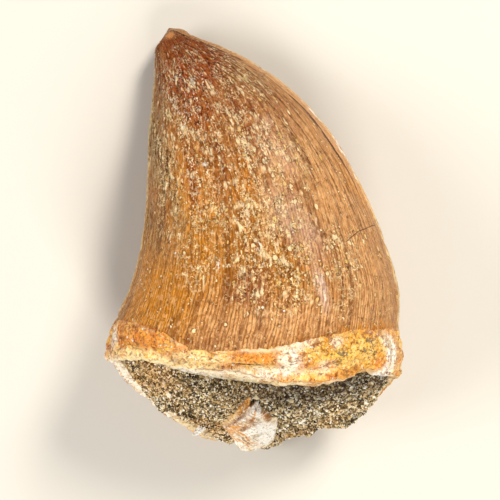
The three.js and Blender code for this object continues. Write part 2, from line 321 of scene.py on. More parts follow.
crownMarks = {
    # which stains are placed before the fine relief is worked out, and which ones on the finished skin
    "beforeRelief": ("rust", "gold", "chalk", "clots", "ash"),
    "afterRelief": (
        "amber", "tan", "mauve", "mist", "ash", "sideBand", "umber", "orange", "cream", "white", "yellow", "grey",
        "swirl",
    ),
    "back": {"rust": 0.8, "chalk": 0.6, "gold": 0.5},  # strength of what is spread over the back
    "leastChalk": 0.18,
    # stains whose outlines wander furthest
    "wideWander": ("rust", "gold", "chalk", "ash", "tan", "mauve"),
    # stains on the face, and patches of painted sheen: centre, radii, turn in degrees, strength
    "amber": [((-1.8, 18.15), (0.38, 0.3), 0, 1)],
    "tan": [
        ((6.6, 9.6), (1.7, 4.2), 40, 0.5), ((-1.5, -6.9), (5.6, 2), 0, 0.75), ((8.8, 1.5), (2.6, 9), 18, 1),
        ((9.4, -6.2), (2.6, 4.6), 5, 1), ((4.6, 13.2), (3.2, 1), -42, 0.8), ((2, -7.6), (7, 1.6), -6, 0.9),
    ],
    "rust": [
        ((-0.8, 14.4), (2.7, 3.8), -8, 1), ((-1.5, 16.8), (1.9, 1.5), 0, 1), ((-1.2, 10.8), (1.6, 2.8), 5, 0.8),
        ((-2.2, 5), (0.8, 3), 0, 0.5), ((0.8, 7.6), (3.6, 5), 20, 0.36),
    ],
    "mauve": [
        ((0.2, 17.2), (1.2, 0.7), -30, 0.8), ((1.4, 14.6), (1.8, 2), -30, 0.8), ((3.4, 11.2), (2.6, 2.2), -30, 0.6),
        ((0.4, -4.4), (1.6, 1.4), 0, 0.9), ((-0.6, 17.6), (1.2, 0.8), -30, 0.5), ((5.4, 8), (2, 2.2), 0, 0.4),
    ],
    "gold": [
        ((-6.6, -3.8), (3, 3.6), -20, 1), ((-2.6, 2.2), (1.8, 6), -4, 1), ((-7.6, -0.5), (1.6, 3.6), 20, 0.8),
        ((10.9, 1.6), (0.8, 3.2), 20, 0.9), ((2.6, -3.4), (2.6, 1.8), 0, 0.6), ((1.3, 3.6), (0.9, 3.4), 0, 0.9),
        ((-1, -2), (2, 2.8), 0, 0.6),
    ],
    "chalk": [
        ((0.6, 7.6), (4.6, 5.2), 25, 0.9), ((-1.2, 13.2), (2.8, 3.6), 0, 0.8), ((-4.4, 7.4), (1.2, 7.2), 8, 1),
        ((0.6, 15.6), (2.2, 1.4), -30, 0.7), ((2.6, -0.6), (3.6, 3.6), 0, 0.95),
        ((2.2, -4.4), (3.4, 2.4), -10, 0.9), ((5.2, 4.6), (2.8, 4.4), 0, 0.5), ((-2.4, 0.6), (3, 4.4), 0, 0.7),
        ((3.2, 12.6), (3, 1.2), -38, 0.8), ((7.6, -4), (1.8, 3.6), 0, 0.55), ((-5, -5.6), (3, 1.6), 0, 0.2),
    ],
    # soft patches of painted sheen, a painted highlight on the face, with one bright painted streak
    "mist": [
        ((4.8, -0.2), (1.4, 3.2), 23, 0.6), ((4.9, 5.4), (1.3, 2.4), 25, 0.4), ((5.8, -5.4), (0.45, 1.7), 0, 1),
        ((4.4, 8.2), (0.7, 0.7), 0, 0.6),
    ],
    "ash": [((-4.9, 8.6), (0.9, 6.6), 8, 1), ((-6.4, 1.6), (0.9, 3), 12, 0.6)],
    # places where what is stuck to the enamel lies thickest
    "clots": [
        ((-3.1, 10.9), (0.5, 0.7), 0, 1), ((-1.9, 9.5), (0.45, 0.8), 0, 0.9), ((1.3, 8.9), (0.6, 0.7), 0, 0.7),
        ((3.6, 12.7), (0.6, 0.4), -30, 0.8), ((1.6, 2.1), (0.45, 1), 0, 1), ((-0.6, 13.2), (0.45, 0.6), 0, 0.9),
        ((-1.8, 14.1), (0.5, 0.6), 0, 0.8), ((4.6, 8.1), (0.6, 0.6), 0, 0.7), ((3.6, -1.6), (1.2, 1.3), 0, 0.35),
        ((0.6, 12.7), (0.5, 0.6), 0, 0.6), ((-4.4, 6), (0.5, 1.4), 5, 0.7), ((-4, 2.4), (0.5, 1.2), 5, 0.6),
        ((2.6, 6.4), (0.9, 0.9), 0, 0.6),
    ],
    # thin lines on the face: their ends, half width, how far they wander
    "crack": [((8.6, -2.5), (9.8, -2), 0.03, 0.2), ((9.8, -2), (11.4, -1.8), 0.03, 0.2)],
    "scratches": [
        ((-3.1, 13.2), (-2.1, 10.7), 0.06, 0.9), ((1, 2.6), (1.5, 1.2), 0.06, 1), ((1.5, 1.2), (1.2, 0.2), 0.05, 1),
        # the last line here is a streak of painted highlight, drawn like a scratch
        ((5.95, -4.6), (5.8, -6.5), 0.08, 0.5),
    ],
    # x, y and radius
    "crystals": [(1.7, -1.4, 0.3), (-1.7, -2.2, 0.26), (-2.2, 9.4, 0.22), (-1, 5.9, 0.2)],
    # where the band's stain climbs on the enamel
    "sideBand": [((8.4, -9.6), (3.6, 1.6), -8, 1), ((-9.6, -5), (2.4, 1.2), -20, 0.8), ((3, -9), (2.4, 1), 0, 0.5)],
    "umber": [
        ((4.7, -9.8), (1.7, 0.7), -5, 1), ((8.3, -10.1), (1.6, 0.6), -10, 1), ((6.7, -12.2), (1.4, 0.4), -10, 0.7),
        ((-8.6, -5.6), (2.4, 0.35), -18, 0.8), ((-3.6, -7.6), (2.4, 0.3), -12, 0.7),
    ],
    # stains on the root band and the broken wall
    "orange": [
        ((-8.2, -6.3), (2.2, 1), -15, 1), ((-4.4, -7.9), (2.2, 0.5), -12, 0.7), ((-1, -9.5), (2.4, 0.7), -5, 0.95),
        ((6.4, -12.6), (3, 0.5), -5, 0.5), ((5, -9), (1.3, 0.5), 0, 0.9), ((8.4, -9.5), (1.6, 0.5), -10, 0.9),
    ],
    "cream": [
        ((-8.8, -7.9), (2.6, 0.6), -14, 1), ((-5, -8.9), (2.4, 0.8), -12, 1), ((-1, -10.6), (2.6, 0.35), -6, 0.8),
        ((7.2, -11.6), (1.2, 0.7), 0, 0.4),
    ],
    "white": [
        ((1, -8.75), (1.6, 0.3), -4, 1), ((3.2, -9.2), (1.2, 0.6), 15, 1), ((2.2, -10.1), (0.9, 1.3), -10, 1),
        # the narrow strip at (-11.1, -6.1) is a painted highlight on the band's left edge
        ((-11.1, -6.1), (0.35, 0.85), -15, 1), ((8.6, -13.4), (1.2, 0.3), 20, 0.9),
        ((-5, -10), (3.4, 0.4), -12, 0.9), ((0.5, -11.1), (2.4, 0.4), -8, 1), ((5.9, -9.9), (0.5, 0.4), 0, 0.8),
        ((4.6, -11.7), (0.8, 0.5), 0, 0.5), ((-12, -9.4), (1.3, 2.6), 30, 1), ((-10.2, -12.4), (1.2, 2.2), 38, 0.9),
    ],
    "yellow": [
        ((6.4, -10.4), (2.7, 1.8), -12, 1), ((7.4, -12.2), (1.2, 0.6), 0, 0.7), ((11.2, -11.2), (0.4, 1.4), 0, 0.5),
    ],
    "grey": [
        ((5.9, -11.1), (0.8, 0.8), 0, 0.9), ((8.6, -11), (1.3, 0.8), -15, 1), ((-5.9, -7), (0.8, 0.3), -15, 0.5),
    ],
    "swirl": [((10.3, -12.1), (0.9, 1.7), 12, 1), ((9.2, -13.4), (1.3, 0.5), 25, 1)],
    "swirlCentre": (8.6, -11.7),
}


def crownDetail():
    form = crownForm
    line = form["enamelLine"]
    angle = turnSteps(form["columns"])
    # stations of the rows: enamel, band, broken wall from its outer to its inner edge, cavity
    enamelRows = evenStations(lastSection, line, form["enamelRows"])
    bandDown = np.concatenate([[0.02, 0.05], np.linspace(0.08, 1, form["bandRows"] - 2)])
    outer = np.concatenate([enamelRows, line * (1 - bandDown)])[:, None] + 0 * angle
    ringSpots = circleSpots(angle, 12, 0.0)
    ragged = sum(height * roughness(ringSpots, *rest) for height, *rest in form["ragged"])
    nearLine = smooth(outer, 1, 3)
    s = np.clip(outer * mixed((enamelAt(angle) + ragged) / line, 1.0, nearLine), 0, lastSection)
    even = np.clip(outer * mixed(enamelAt(angle) / line, 1.0, nearLine), 0, lastSection)
    around = np.broadcast_to(angle, s.shape)
    points = skinPoint(even, around)
    points[..., :2] = skinPoint(s, around)[..., :2]  # only the place along the tooth follows the ragged edge
    breaks = rimBreak(angle)
    points += outward * ((1 - smooth(outer, 0, 0.6)) * breaks)[..., None]
    # broken wall
    t = np.linspace(0, 1, form["lipRows"] + 1)[1:, None] + 0 * angle
    bevel = np.interp(t, *form["bevelCurve"])
    bevel = bevel * form["rimBevel"] * mixed(form["backBevel"], 1.0, smooth(np.sin(angle), -0.3, 0.3))
    outerEdge, innerEdge = skinPoint(0.0, angle), skinPoint(0.0, angle, 1.0, form["wall"])
    lip = mixed(outerEdge, innerEdge, t[..., None]) + outward * (bevel + breaks)[..., None]
    # cavity
    u = np.linspace(0, 1, form["wallRows"] + 1)[1:, None] + 0 * angle
    sunk = np.clip((u - form["cavityTurn"]) / (1 - form["cavityTurn"]), 0, 1)
    inner = skinPoint(sunk * form["cavityTop"], np.broadcast_to(angle, u.shape), np.sqrt(1 - sunk**2), form["wall"])
    inner += outward * ((1 - np.clip(u / form["cavityTurn"], 0, 1)) * (bevel[-1] + breaks))[..., None]
    zone = np.repeat([0.0, 1.0, 2.0, 3.0], [len(enamelRows), len(bandDown), len(t), len(u)])
    s = np.concatenate([s, np.zeros_like(t), sunk * form["cavityTop"]])
    return angle, s, np.concatenate([points, lip, inner]), zone


print("shaping the crown")
crownAngle, crownS, crownPoints, crownZone = crownDetail()
crownPoints[0], crownPoints[-1] = crownPoints[0, 0], crownPoints[-1, 0]
crownNormals = gridNormals(crownPoints)
if crownNormals[60, 225, 2] < 0:  # a point in the middle of the face
    crownNormals = -crownNormals
crownAround = np.broadcast_to(crownAngle, crownS.shape)
across, upward = np.cos(crownAround), np.sin(crownAround)
faceSide = smooth(upward, -0.2, 0.25)
backSide = 1 - faceSide
flow = np.stack([9 * across, 9 * upward, 3.45 * crownS], -1)
onEnamel, onBand, onLip = ((crownZone == number)[:, None] + 0 * crownS for number in range(3))


def stain(name):
    # the placed stains of one kind, with wandering outlines
    wander = 0.9 if name in crownMarks["wideWander"] else 0.3
    wander = wander * roughness(crownPoints, 0.45, 5.0 + len(name))[..., None]
    shown = np.maximum(faceSide, (onBand + onLip) * smooth(crownPoints[..., 2], 2.0, 4.0))
    return placed(crownPoints + wander, crownMarks[name]) * shown


def flowNoise(acrossScale, alongScale, seed):
    return roughness(flow * (acrossScale, acrossScale, alongScale), 1, seed)


rust, gold, chalk, clots, ash = map(stain, crownMarks["beforeRelief"])
back = {name: strength * backSide for name, strength in crownMarks["back"].items()}
rust = np.maximum(rust, smooth(crownS, 7, 10.5) * back["rust"])
chalkClouds = smooth(roughness(crownPoints, 0.28, 2.0, 2), -0.1, 0.5) * back["chalk"]
chalk = np.maximum(chalk, np.maximum(chalkClouds, crownMarks["leastChalk"]))
gold = np.maximum(gold, smooth(roughness(crownPoints, 0.3, 9.0), 0.1, 0.6) * back["gold"])

# fine relief of the enamel: wrinkles, creases between them, pits, and crusts left on it
wrinkles = flowNoise(1.0, 0.12, 1.5) + 0.6 * flowNoise(2.4, 0.3, 6.5)
creases = flowNoise(2.6, 0.24, 6.5) + 0.35 * flowNoise(5.5, 0.7, 3.5)
grooves = smooth(-creases, 0.1, 0.4) * mixed(0.12, 1.0, np.maximum(ash, 0.8 * rust))
crustNoise = flowNoise(2.4, 1.4, 12.0) + 0.6 * roughness(crownPoints, 4.6, 7.0)
crustLevel = 0.72 - 0.38 * chalk - 0.3 * clots
crust = smooth(crustNoise, crustLevel, crustLevel + 0.18) * smooth(np.maximum(chalk, clots), 0.1, 0.5)
pits = smooth(roughness(crownPoints, 2.4, 21.0) + 0.5 * roughness(crownPoints, 5.0, 2.0), 0.4, 0.75)
halfWidth = sectionAt(np.clip(crownS, 0, lastSection))["half"]
fromEdge, fromLeft = (  # mm in from the right and the left edge
    np.where(upward > 0, np.minimum((1 - side * across) * halfWidth, 6.0), 6.0) for side in (1, -1))
keelNear = smooth(np.abs(across), 0.991, 0.999)
chips = smooth(flowNoise(1.0, 1.1, 31.0), 0.05, 0.4) * keelNear
crystals = np.zeros(crownS.shape)
for x, y, size in crownMarks["crystals"]:
    crystals = np.maximum(crystals, ellipse(crownPoints, (x, y), (size, size * 0.8), 30, 0.5) * faceSide)
lowerPart = 1 - smooth(crownS, 9.5, 10.8)
enamelRelief = sum(crownForm["enamel"][name] * height for name, height in (
    ("wrinkles", wrinkles * lowerPart), ("grooves", grooves * lowerPart), ("crust", crust),
    ("pits", pits * smooth(chalk, 0.05, 0.5)), ("chips", chips), ("crystals", crystals),
    ("skin", roughness(crownPoints, 3.3, 60.0)),
))
# root band: lumps, pores and cross cracks; broken wall: ragged and layered
rough = {
    "lumps": roughness(crownPoints, 0.7, 3.0, 2),
    "coarse": roughness(crownPoints, 2.1, 17.0, 2),
    "gritty": roughness(crownPoints, 4.6, 33.0, 2),
    "pores": smooth(roughness(crownPoints, 3.2, 40.0), 0.35, 0.7),
    "cracks": smooth(np.abs(roughness(crownPoints * (0.5, 1.0, 0.8), 1.1, 52.0, 2)), 0.07, 0.0),
}
bandRelief, lipRelief = (
    sum(height * rough[name] for name, height in crownForm[zone].items()) for zone in ("band", "lip"))
# thin lines where the enamel ends and where the wall breaks off
rowNumber = np.arange(len(crownZone))[:, None] + 0 * crownS
lineBreak = smooth(flowNoise(0.6, 0.6, 71.0), -0.35, 0.2)
lipStart = crownForm["enamelRows"] + crownForm["bandRows"]
turnedEnd = lipStart + crownForm["turnedRows"]
enamelEdge = np.exp(-(((rowNumber - crownForm["enamelRows"] - 1) / 2.2) ** 2))
wallEdge = np.exp(-((rowNumber - turnedEnd) ** 2)) * smooth(across, 0.62, 0.4)
leftward = smooth(crownPoints[..., 0], 4.5, 1.0) * smooth(crownPoints[..., 0], -9.0, -5.0)
belowEnamel = np.where(onBand > 0, bandRelief, lipRelief * onLip)
crownOff = np.where(onEnamel > 0, enamelRelief * smooth(rowNumber, 0, 6), belowEnamel)
crownOff += crownForm["enamelEdge"] * enamelEdge * lineBreak * mixed(0.3, 1.0, leftward)
crownOff += crownForm["wallEdge"] * wallEdge * lineBreak
crownMasks = {
    "rust": rust, "gold": gold, "chalk": chalk, "clots": clots, "crust": crust, "crystals": crystals,
    "grooves": grooves, "pores": rough["pores"], "bandCracks": rough["cracks"], "faceSide": faceSide,
    "fromEdge": fromEdge, "fromLeft": fromLeft, "keelWear": np.maximum(crownForm["edgeWearAndRimLight"] * keelNear**2, chips),
    "edgeLine": np.maximum(enamelEdge * mixed(0.15, 1.0, leftward), wallEdge) * lineBreak,
    "nearBand": (1 - smooth(crownS - enamelAt(crownAround), 0, 0.55)) * onEnamel,  # enamel just above the band
}
crownPoints = crownPoints + crownNormals * crownOff[..., None]
crownPoints[..., 2] = np.maximum(crownPoints[..., 2], 0.0)
crownPoints[0], crownPoints[-1] = crownPoints[0, 0], crownPoints[-1, 0]

for name in crownMarks["afterRelief"]:
    crownMasks[name] = stain(name)
crown = wrapGrid("toothCrown", len(crownZone), crownForm["columns"])
setPoints(crown, crownPoints)
keepMask(crown, "flow", flow, "FLOAT_VECTOR", "vector")
for name, values in crownMasks.items():
    keepMask(crown, name, values)
firstRow = np.array([face.vertices[0] for face in crown.data.polygons]) // (crownForm["columns"] + 1)
firstZone = crownZone[np.minimum(firstRow + 1, len(crownZone) - 1)].astype(np.int32)
firstZone[(firstRow >= lipStart - 1) & (firstRow < turnedEnd)] = 1
crown.data.polygons.foreach_set("material_index", np.minimum(firstZone, 2))
closeGrid(crown)
applyModifier(crown, "DECIMATE", ratio=crownForm["keptShare"])
bpy.ops.object.shade_smooth()
print("crown", len(crown.data.polygons), "faces")


# helpers for nodes; they all work on the tree that is drawn at the time
drawn = {}


def paint(tone):
    # a colour from its usual 0-255 values
    linear = [c / 12.92 if c <= 0.04045 else ((c + 0.055) / 1.055) ** 2.4 for c in (value / 255 for value in tone)]
    return (*linear, 1.0)


def feed(socket, value):
    if isinstance(value, bpy.types.NodeSocket):
        drawn["tree"].links.new(value, socket)
    else:
        socket.default_value = value


def put(kind, inputs=(), **settings):
    made = drawn["tree"].nodes.new("ShaderNode" + kind)
    for name, value in settings.items():
        setattr(made, name, value)
    for name, value in dict(inputs).items():
        feed(made.inputs[name], value)
    return made


def math2(operation, a, b=0.0):
    return put("Math", {0: a, 1: b}, operation=operation, use_clamp=False).outputs[0]


def plus(a, b):
    return math2("ADD", a, b)


def minus(a, b):
    return math2("SUBTRACT", a, b)


def times(first, *others):
    for other in others:
        first = math2("MULTIPLY", first, other)
    return first


def vector2(operation, a, b=(0.0, 0.0, 0.0), output="Vector"):
    return put("VectorMath", {0: a, 1: b}, operation=operation).outputs[output]


def scaledVector(vector, scale):
    return put("VectorMath", {"Vector": vector, "Scale": scale}, operation="SCALE").outputs["Vector"]


def window(value, low, high, out=(0.0, 1.0)):
    # 0 below low, 1 above high, smooth between them
    limits = {"Value": value, "From Min": low, "From Max": high, "To Min": out[0], "To Max": out[1]}
    return put("MapRange", limits, interpolation_type="SMOOTHSTEP").outputs["Result"]


def over(below, above, share):
    return put("Mix", {0: share, 6: below, 7: above}, data_type="RGBA").outputs[2]


def layer(colour, tone, mask, share=1.0):
    return over(colour, paint(tone), times(mask, share))


def stretched(vector, scale):
    return put("Mapping", {"Vector": vector, "Scale": scale}).outputs["Vector"]


def readMask(name, output="Fac"):
    return put("Attribute", attribute_name=name, attribute_type="GEOMETRY").outputs[output]


def noisy(vector, scale, detail=2.0, rough=0.55, warp=0.0, output="Fac"):
    inputs = {"Vector": vector, "Scale": scale, "Detail": detail, "Roughness": rough, "Distortion": warp}
    return put("TexNoise", inputs).outputs[output]


def newGroup(name, inputs, outputs):
    group = drawn["tree"] = bpy.data.node_groups.new(name, "ShaderNodeTree")
    group.interface.new_socket(name="Vector", in_out="INPUT", socket_type="NodeSocketVector")
    for label, value in inputs.items():
        kind = "Float" if isinstance(value, float) else value
        socket = group.interface.new_socket(name=label, in_out="INPUT", socket_type="NodeSocket" + kind)
        if kind == "Float":
            socket.default_value = value
    for label in outputs:
        kind = "Color" if label == "Color" else "Float"
        group.interface.new_socket(name=label, in_out="OUTPUT", socket_type="NodeSocket" + kind)
    return group, group.nodes.new("NodeGroupInput").outputs, group.nodes.new("NodeGroupOutput").inputs


def useGroup(group, **inputs):
    made = drawn["tree"].nodes.new("ShaderNodeGroup")
    made.node_tree = group
    for name, value in inputs.items():
        feed(made.inputs[name], value)
    return made.outputs


# specks: small spots whose number follows Amount, and a ring of painted shade round each of them
speckGroup, get, give = newGroup("specks", {"Size": 3.0, "Amount": 0.3, "Edge": 0.04}, ("Mask", "ShadeRing"))
spots = noisy(get["Vector"], get["Size"], 3.0, 0.68, 0.5)
level = minus(0.7, times(get["Amount"], 0.2))
some = window(get["Amount"], 0.0, 0.08)
mask = times(window(spots, level, plus(level, get["Edge"])), some)
shadeHalo = window(spots, minus(level, 0.06), level)
feed(give["Mask"], mask)
feed(give["ShadeRing"], math2("MAXIMUM", times(minus(shadeHalo, mask), some), 0.0))

# beads: small round spots, each with a tone of its own, and a ring of painted shade round each of them
beadGroup, get, give = newGroup("beads", {"Size": 4.0, "Amount": 0.3, "Warp": 0.15}, ("Mask", "ShadeRing", "Tone"))
shift = noisy(get["Vector"], times(get["Size"], 1.2), 2.0, 0.5, 0.0, "Color")
shift = scaledVector(vector2("SUBTRACT", shift, (0.5, 0.5, 0.5)), get["Warp"])
cells = put("TexVoronoi", {"Vector": vector2("ADD", get["Vector"], shift), "Scale": get["Size"]}).outputs
chance = put("SeparateColor", {"Color": cells["Color"]}).outputs
there = math2("LESS_THAN", chance["Red"], get["Amount"])
reach = plus(times(chance["Green"], 0.26), 0.16)
mask = window(cells["Distance"], plus(reach, 0.1), minus(reach, 0.04))
# just outside the bead: where its ring of painted shade lies
ring = window(cells["Distance"], plus(reach, 0.34), plus(reach, 0.12))
feed(give["Mask"], times(mask, there))
feed(give["ShadeRing"], math2("MAXIMUM", times(minus(ring, mask), there), 0.0))
feed(give["Tone"], chance["Blue"])

# a thin line from Start to End, seen from above, that wanders a little
lineGroup, get, give = newGroup(
    "thinLine", {"Start": "Vector", "End": "Vector", "Width": 0.05, "Wander": 0.2}, ("Mask",))
bent = noisy(get["Vector"], 1.3, 3.0, 0.5, 0.0, "Color")
bent = scaledVector(vector2("SUBTRACT", bent, (0.5, 0.5, 0.5)), get["Wander"])
spot = vector2("MULTIPLY", vector2("ADD", get["Vector"], bent), (1.0, 1.0, 0.0))
fromStart = vector2("SUBTRACT", spot, get["Start"])
route = vector2("SUBTRACT", get["End"], get["Start"])
dots = [vector2("DOT_PRODUCT", ending, route, "Value") for ending in (fromStart, route)]
partWay = math2("MINIMUM", math2("MAXIMUM", math2("DIVIDE", *dots), 0.0), 1.0)
away = vector2("LENGTH", vector2("SUBTRACT", fromStart, scaledVector(route, partWay)), output="Value")
feed(give["Mask"], window(away, times(get["Width"], 1.6), times(get["Width"], 0.5)))

# mottling: three colours that drift into each other
mottleGroup, get, give = newGroup(
    "mottling", {"Scale": 1.0, "Contrast": 0.5, "Dark": "Color", "Middle": "Color", "Light": "Color"}, ("Color",))
clouds = noisy(get["Vector"], get["Scale"], 5.0, 0.6)
half = times(minus(1.0, get["Contrast"]), 0.3)
darkEnd = window(clouds, minus(0.45, half), 0.5)
lightEnd = window(clouds, 0.5, plus(0.58, half))
feed(give["Color"], over(over(get["Dark"], get["Middle"], darkEnd), get["Light"], lightEnd))

# surface grain: a height from coarse and fine noise together
grainGroup, get, give = newGroup("surfaceGrain", {"Coarse": 2.0, "Fine": 8.0}, ("Height",))
fineShare = times(noisy(get["Vector"], get["Fine"], 3.0, 0.6), 0.45)
feed(give["Height"], plus(noisy(get["Vector"], get["Coarse"], 3.0), fineShare))


def mottled(vector, scale, contrast, tones):
    dark, middle, light = map(paint, tones)
    return useGroup(mottleGroup, Vector=vector, Scale=scale, Contrast=contrast,
                    Dark=dark, Middle=middle, Light=light)["Color"]


def specked(vector, size, amount, edge=0.05):
    return useGroup(speckGroup, Vector=vector, Size=size, Amount=amount, Edge=edge)


def grained(vector, coarse, fine):
    return useGroup(grainGroup, Vector=vector, Coarse=coarse, Fine=fine)["Height"]


def newFinish(name, roughness, shine=0.5):
    material = bpy.data.materials.new(name)
    material.use_nodes = True
    drawn["tree"] = material.node_tree
    shader = material.node_tree.nodes["Principled BSDF"].inputs
    shader["Roughness"].default_value = roughness
    shader["Specular IOR Level"].default_value = shine
    place = put("TexCoord").outputs["Object"]
    return material, shader, stretched(place, (1000, 1000, 1000))  # places in mm


def addBump(shader, height, strength, distance):
    bump = put("Bump", {"Height": height, "Strength": strength, "Distance": distance * mm})
    feed(shader["Normal"], bump.outputs["Normal"])


# finish of the enamel
enamelTones = {
    "base": ((136, 74, 18), (186, 120, 54), (218, 160, 92)),
    "streak": (96, 44, 6),
    "fibre": (234, 188, 124),
    "tan": (232, 174, 116),
    "rust": (166, 70, 0),
    "mauve": (148, 82, 58),
    "gold": (234, 154, 42),
    # painted sheen, pale lilac white
    "mist": (242, 208, 188),
    "ash": (192, 152, 92),
    "amber": (236, 160, 88),  # the worn tip
    "lines": (124, 68, 28),
    "crust": (255, 230, 184),
    "gilt": (224, 176, 98),
    "goldBeads": (234, 194, 118),
    "creamBeads": (255, 230, 182),
    "whiteBeads": (255, 248, 238),
    "dark": (74, 26, 0),
    "wornAndRimLit": (255, 230, 176),
    # pale cutting edges: wear, and a painted rim highlight
    "bandStain": (214, 138, 40),
    "umber": (128, 62, 10),
    "crack": (84, 50, 28),
    # pale scratches, and a streak of painted highlight
    "scratch": (246, 228, 204),
}
enamelLook = {
    "lineCount": 250,  # lines round the tooth
    "lineWander": 20.0,
    "lineShare": 0.6,
    "beadLayers": [(2.8, 0.6), (4.0, 0.55)],  # size, share of the places that hold a bead
    "speckLayers": [(1.9, 0.7), (3.2, 0.85)],
    "gloss": (0.27, 0.6),  # roughness of bare enamel, and of what is stuck to it
    "bump": 0.11,
    # noise stretched along the tooth: stretch, scale, detail, roughness, distortion
    "noise": {
        "streaks": (0.07, 1.9, 4.0, 0.68), "threads": (0.12, 6.0, 3.0, 0.62), "fine": (0.65, 3.9, 3.0, 0.62, 0.7),
        "fizz": (0.85, 4.0, 2.0, 0.6, 1.4), "strips": (0.13, 1.0, 3.0, 0.6), "bend": (0.6, 0.45),
        "wobble": (0.35, 2.6), "sway": (0.4, 0.7, 3.0), "crooked": (0.6, 2.7, 3.0, 0.5), "chains": (0.22, 1.7, 3.0),
        "chipped": (0.7, 0.9, 3.0, 0.6),
    },
    "masks": (
        "tan", "rust", "mauve", "gold", "chalk", "mist", "ash", "amber", "crust", "crystals", "keelWear",
        "faceSide", "nearBand", "sideBand", "umber", "grooves", "clots", "fromEdge", "fromLeft",
    ),
}


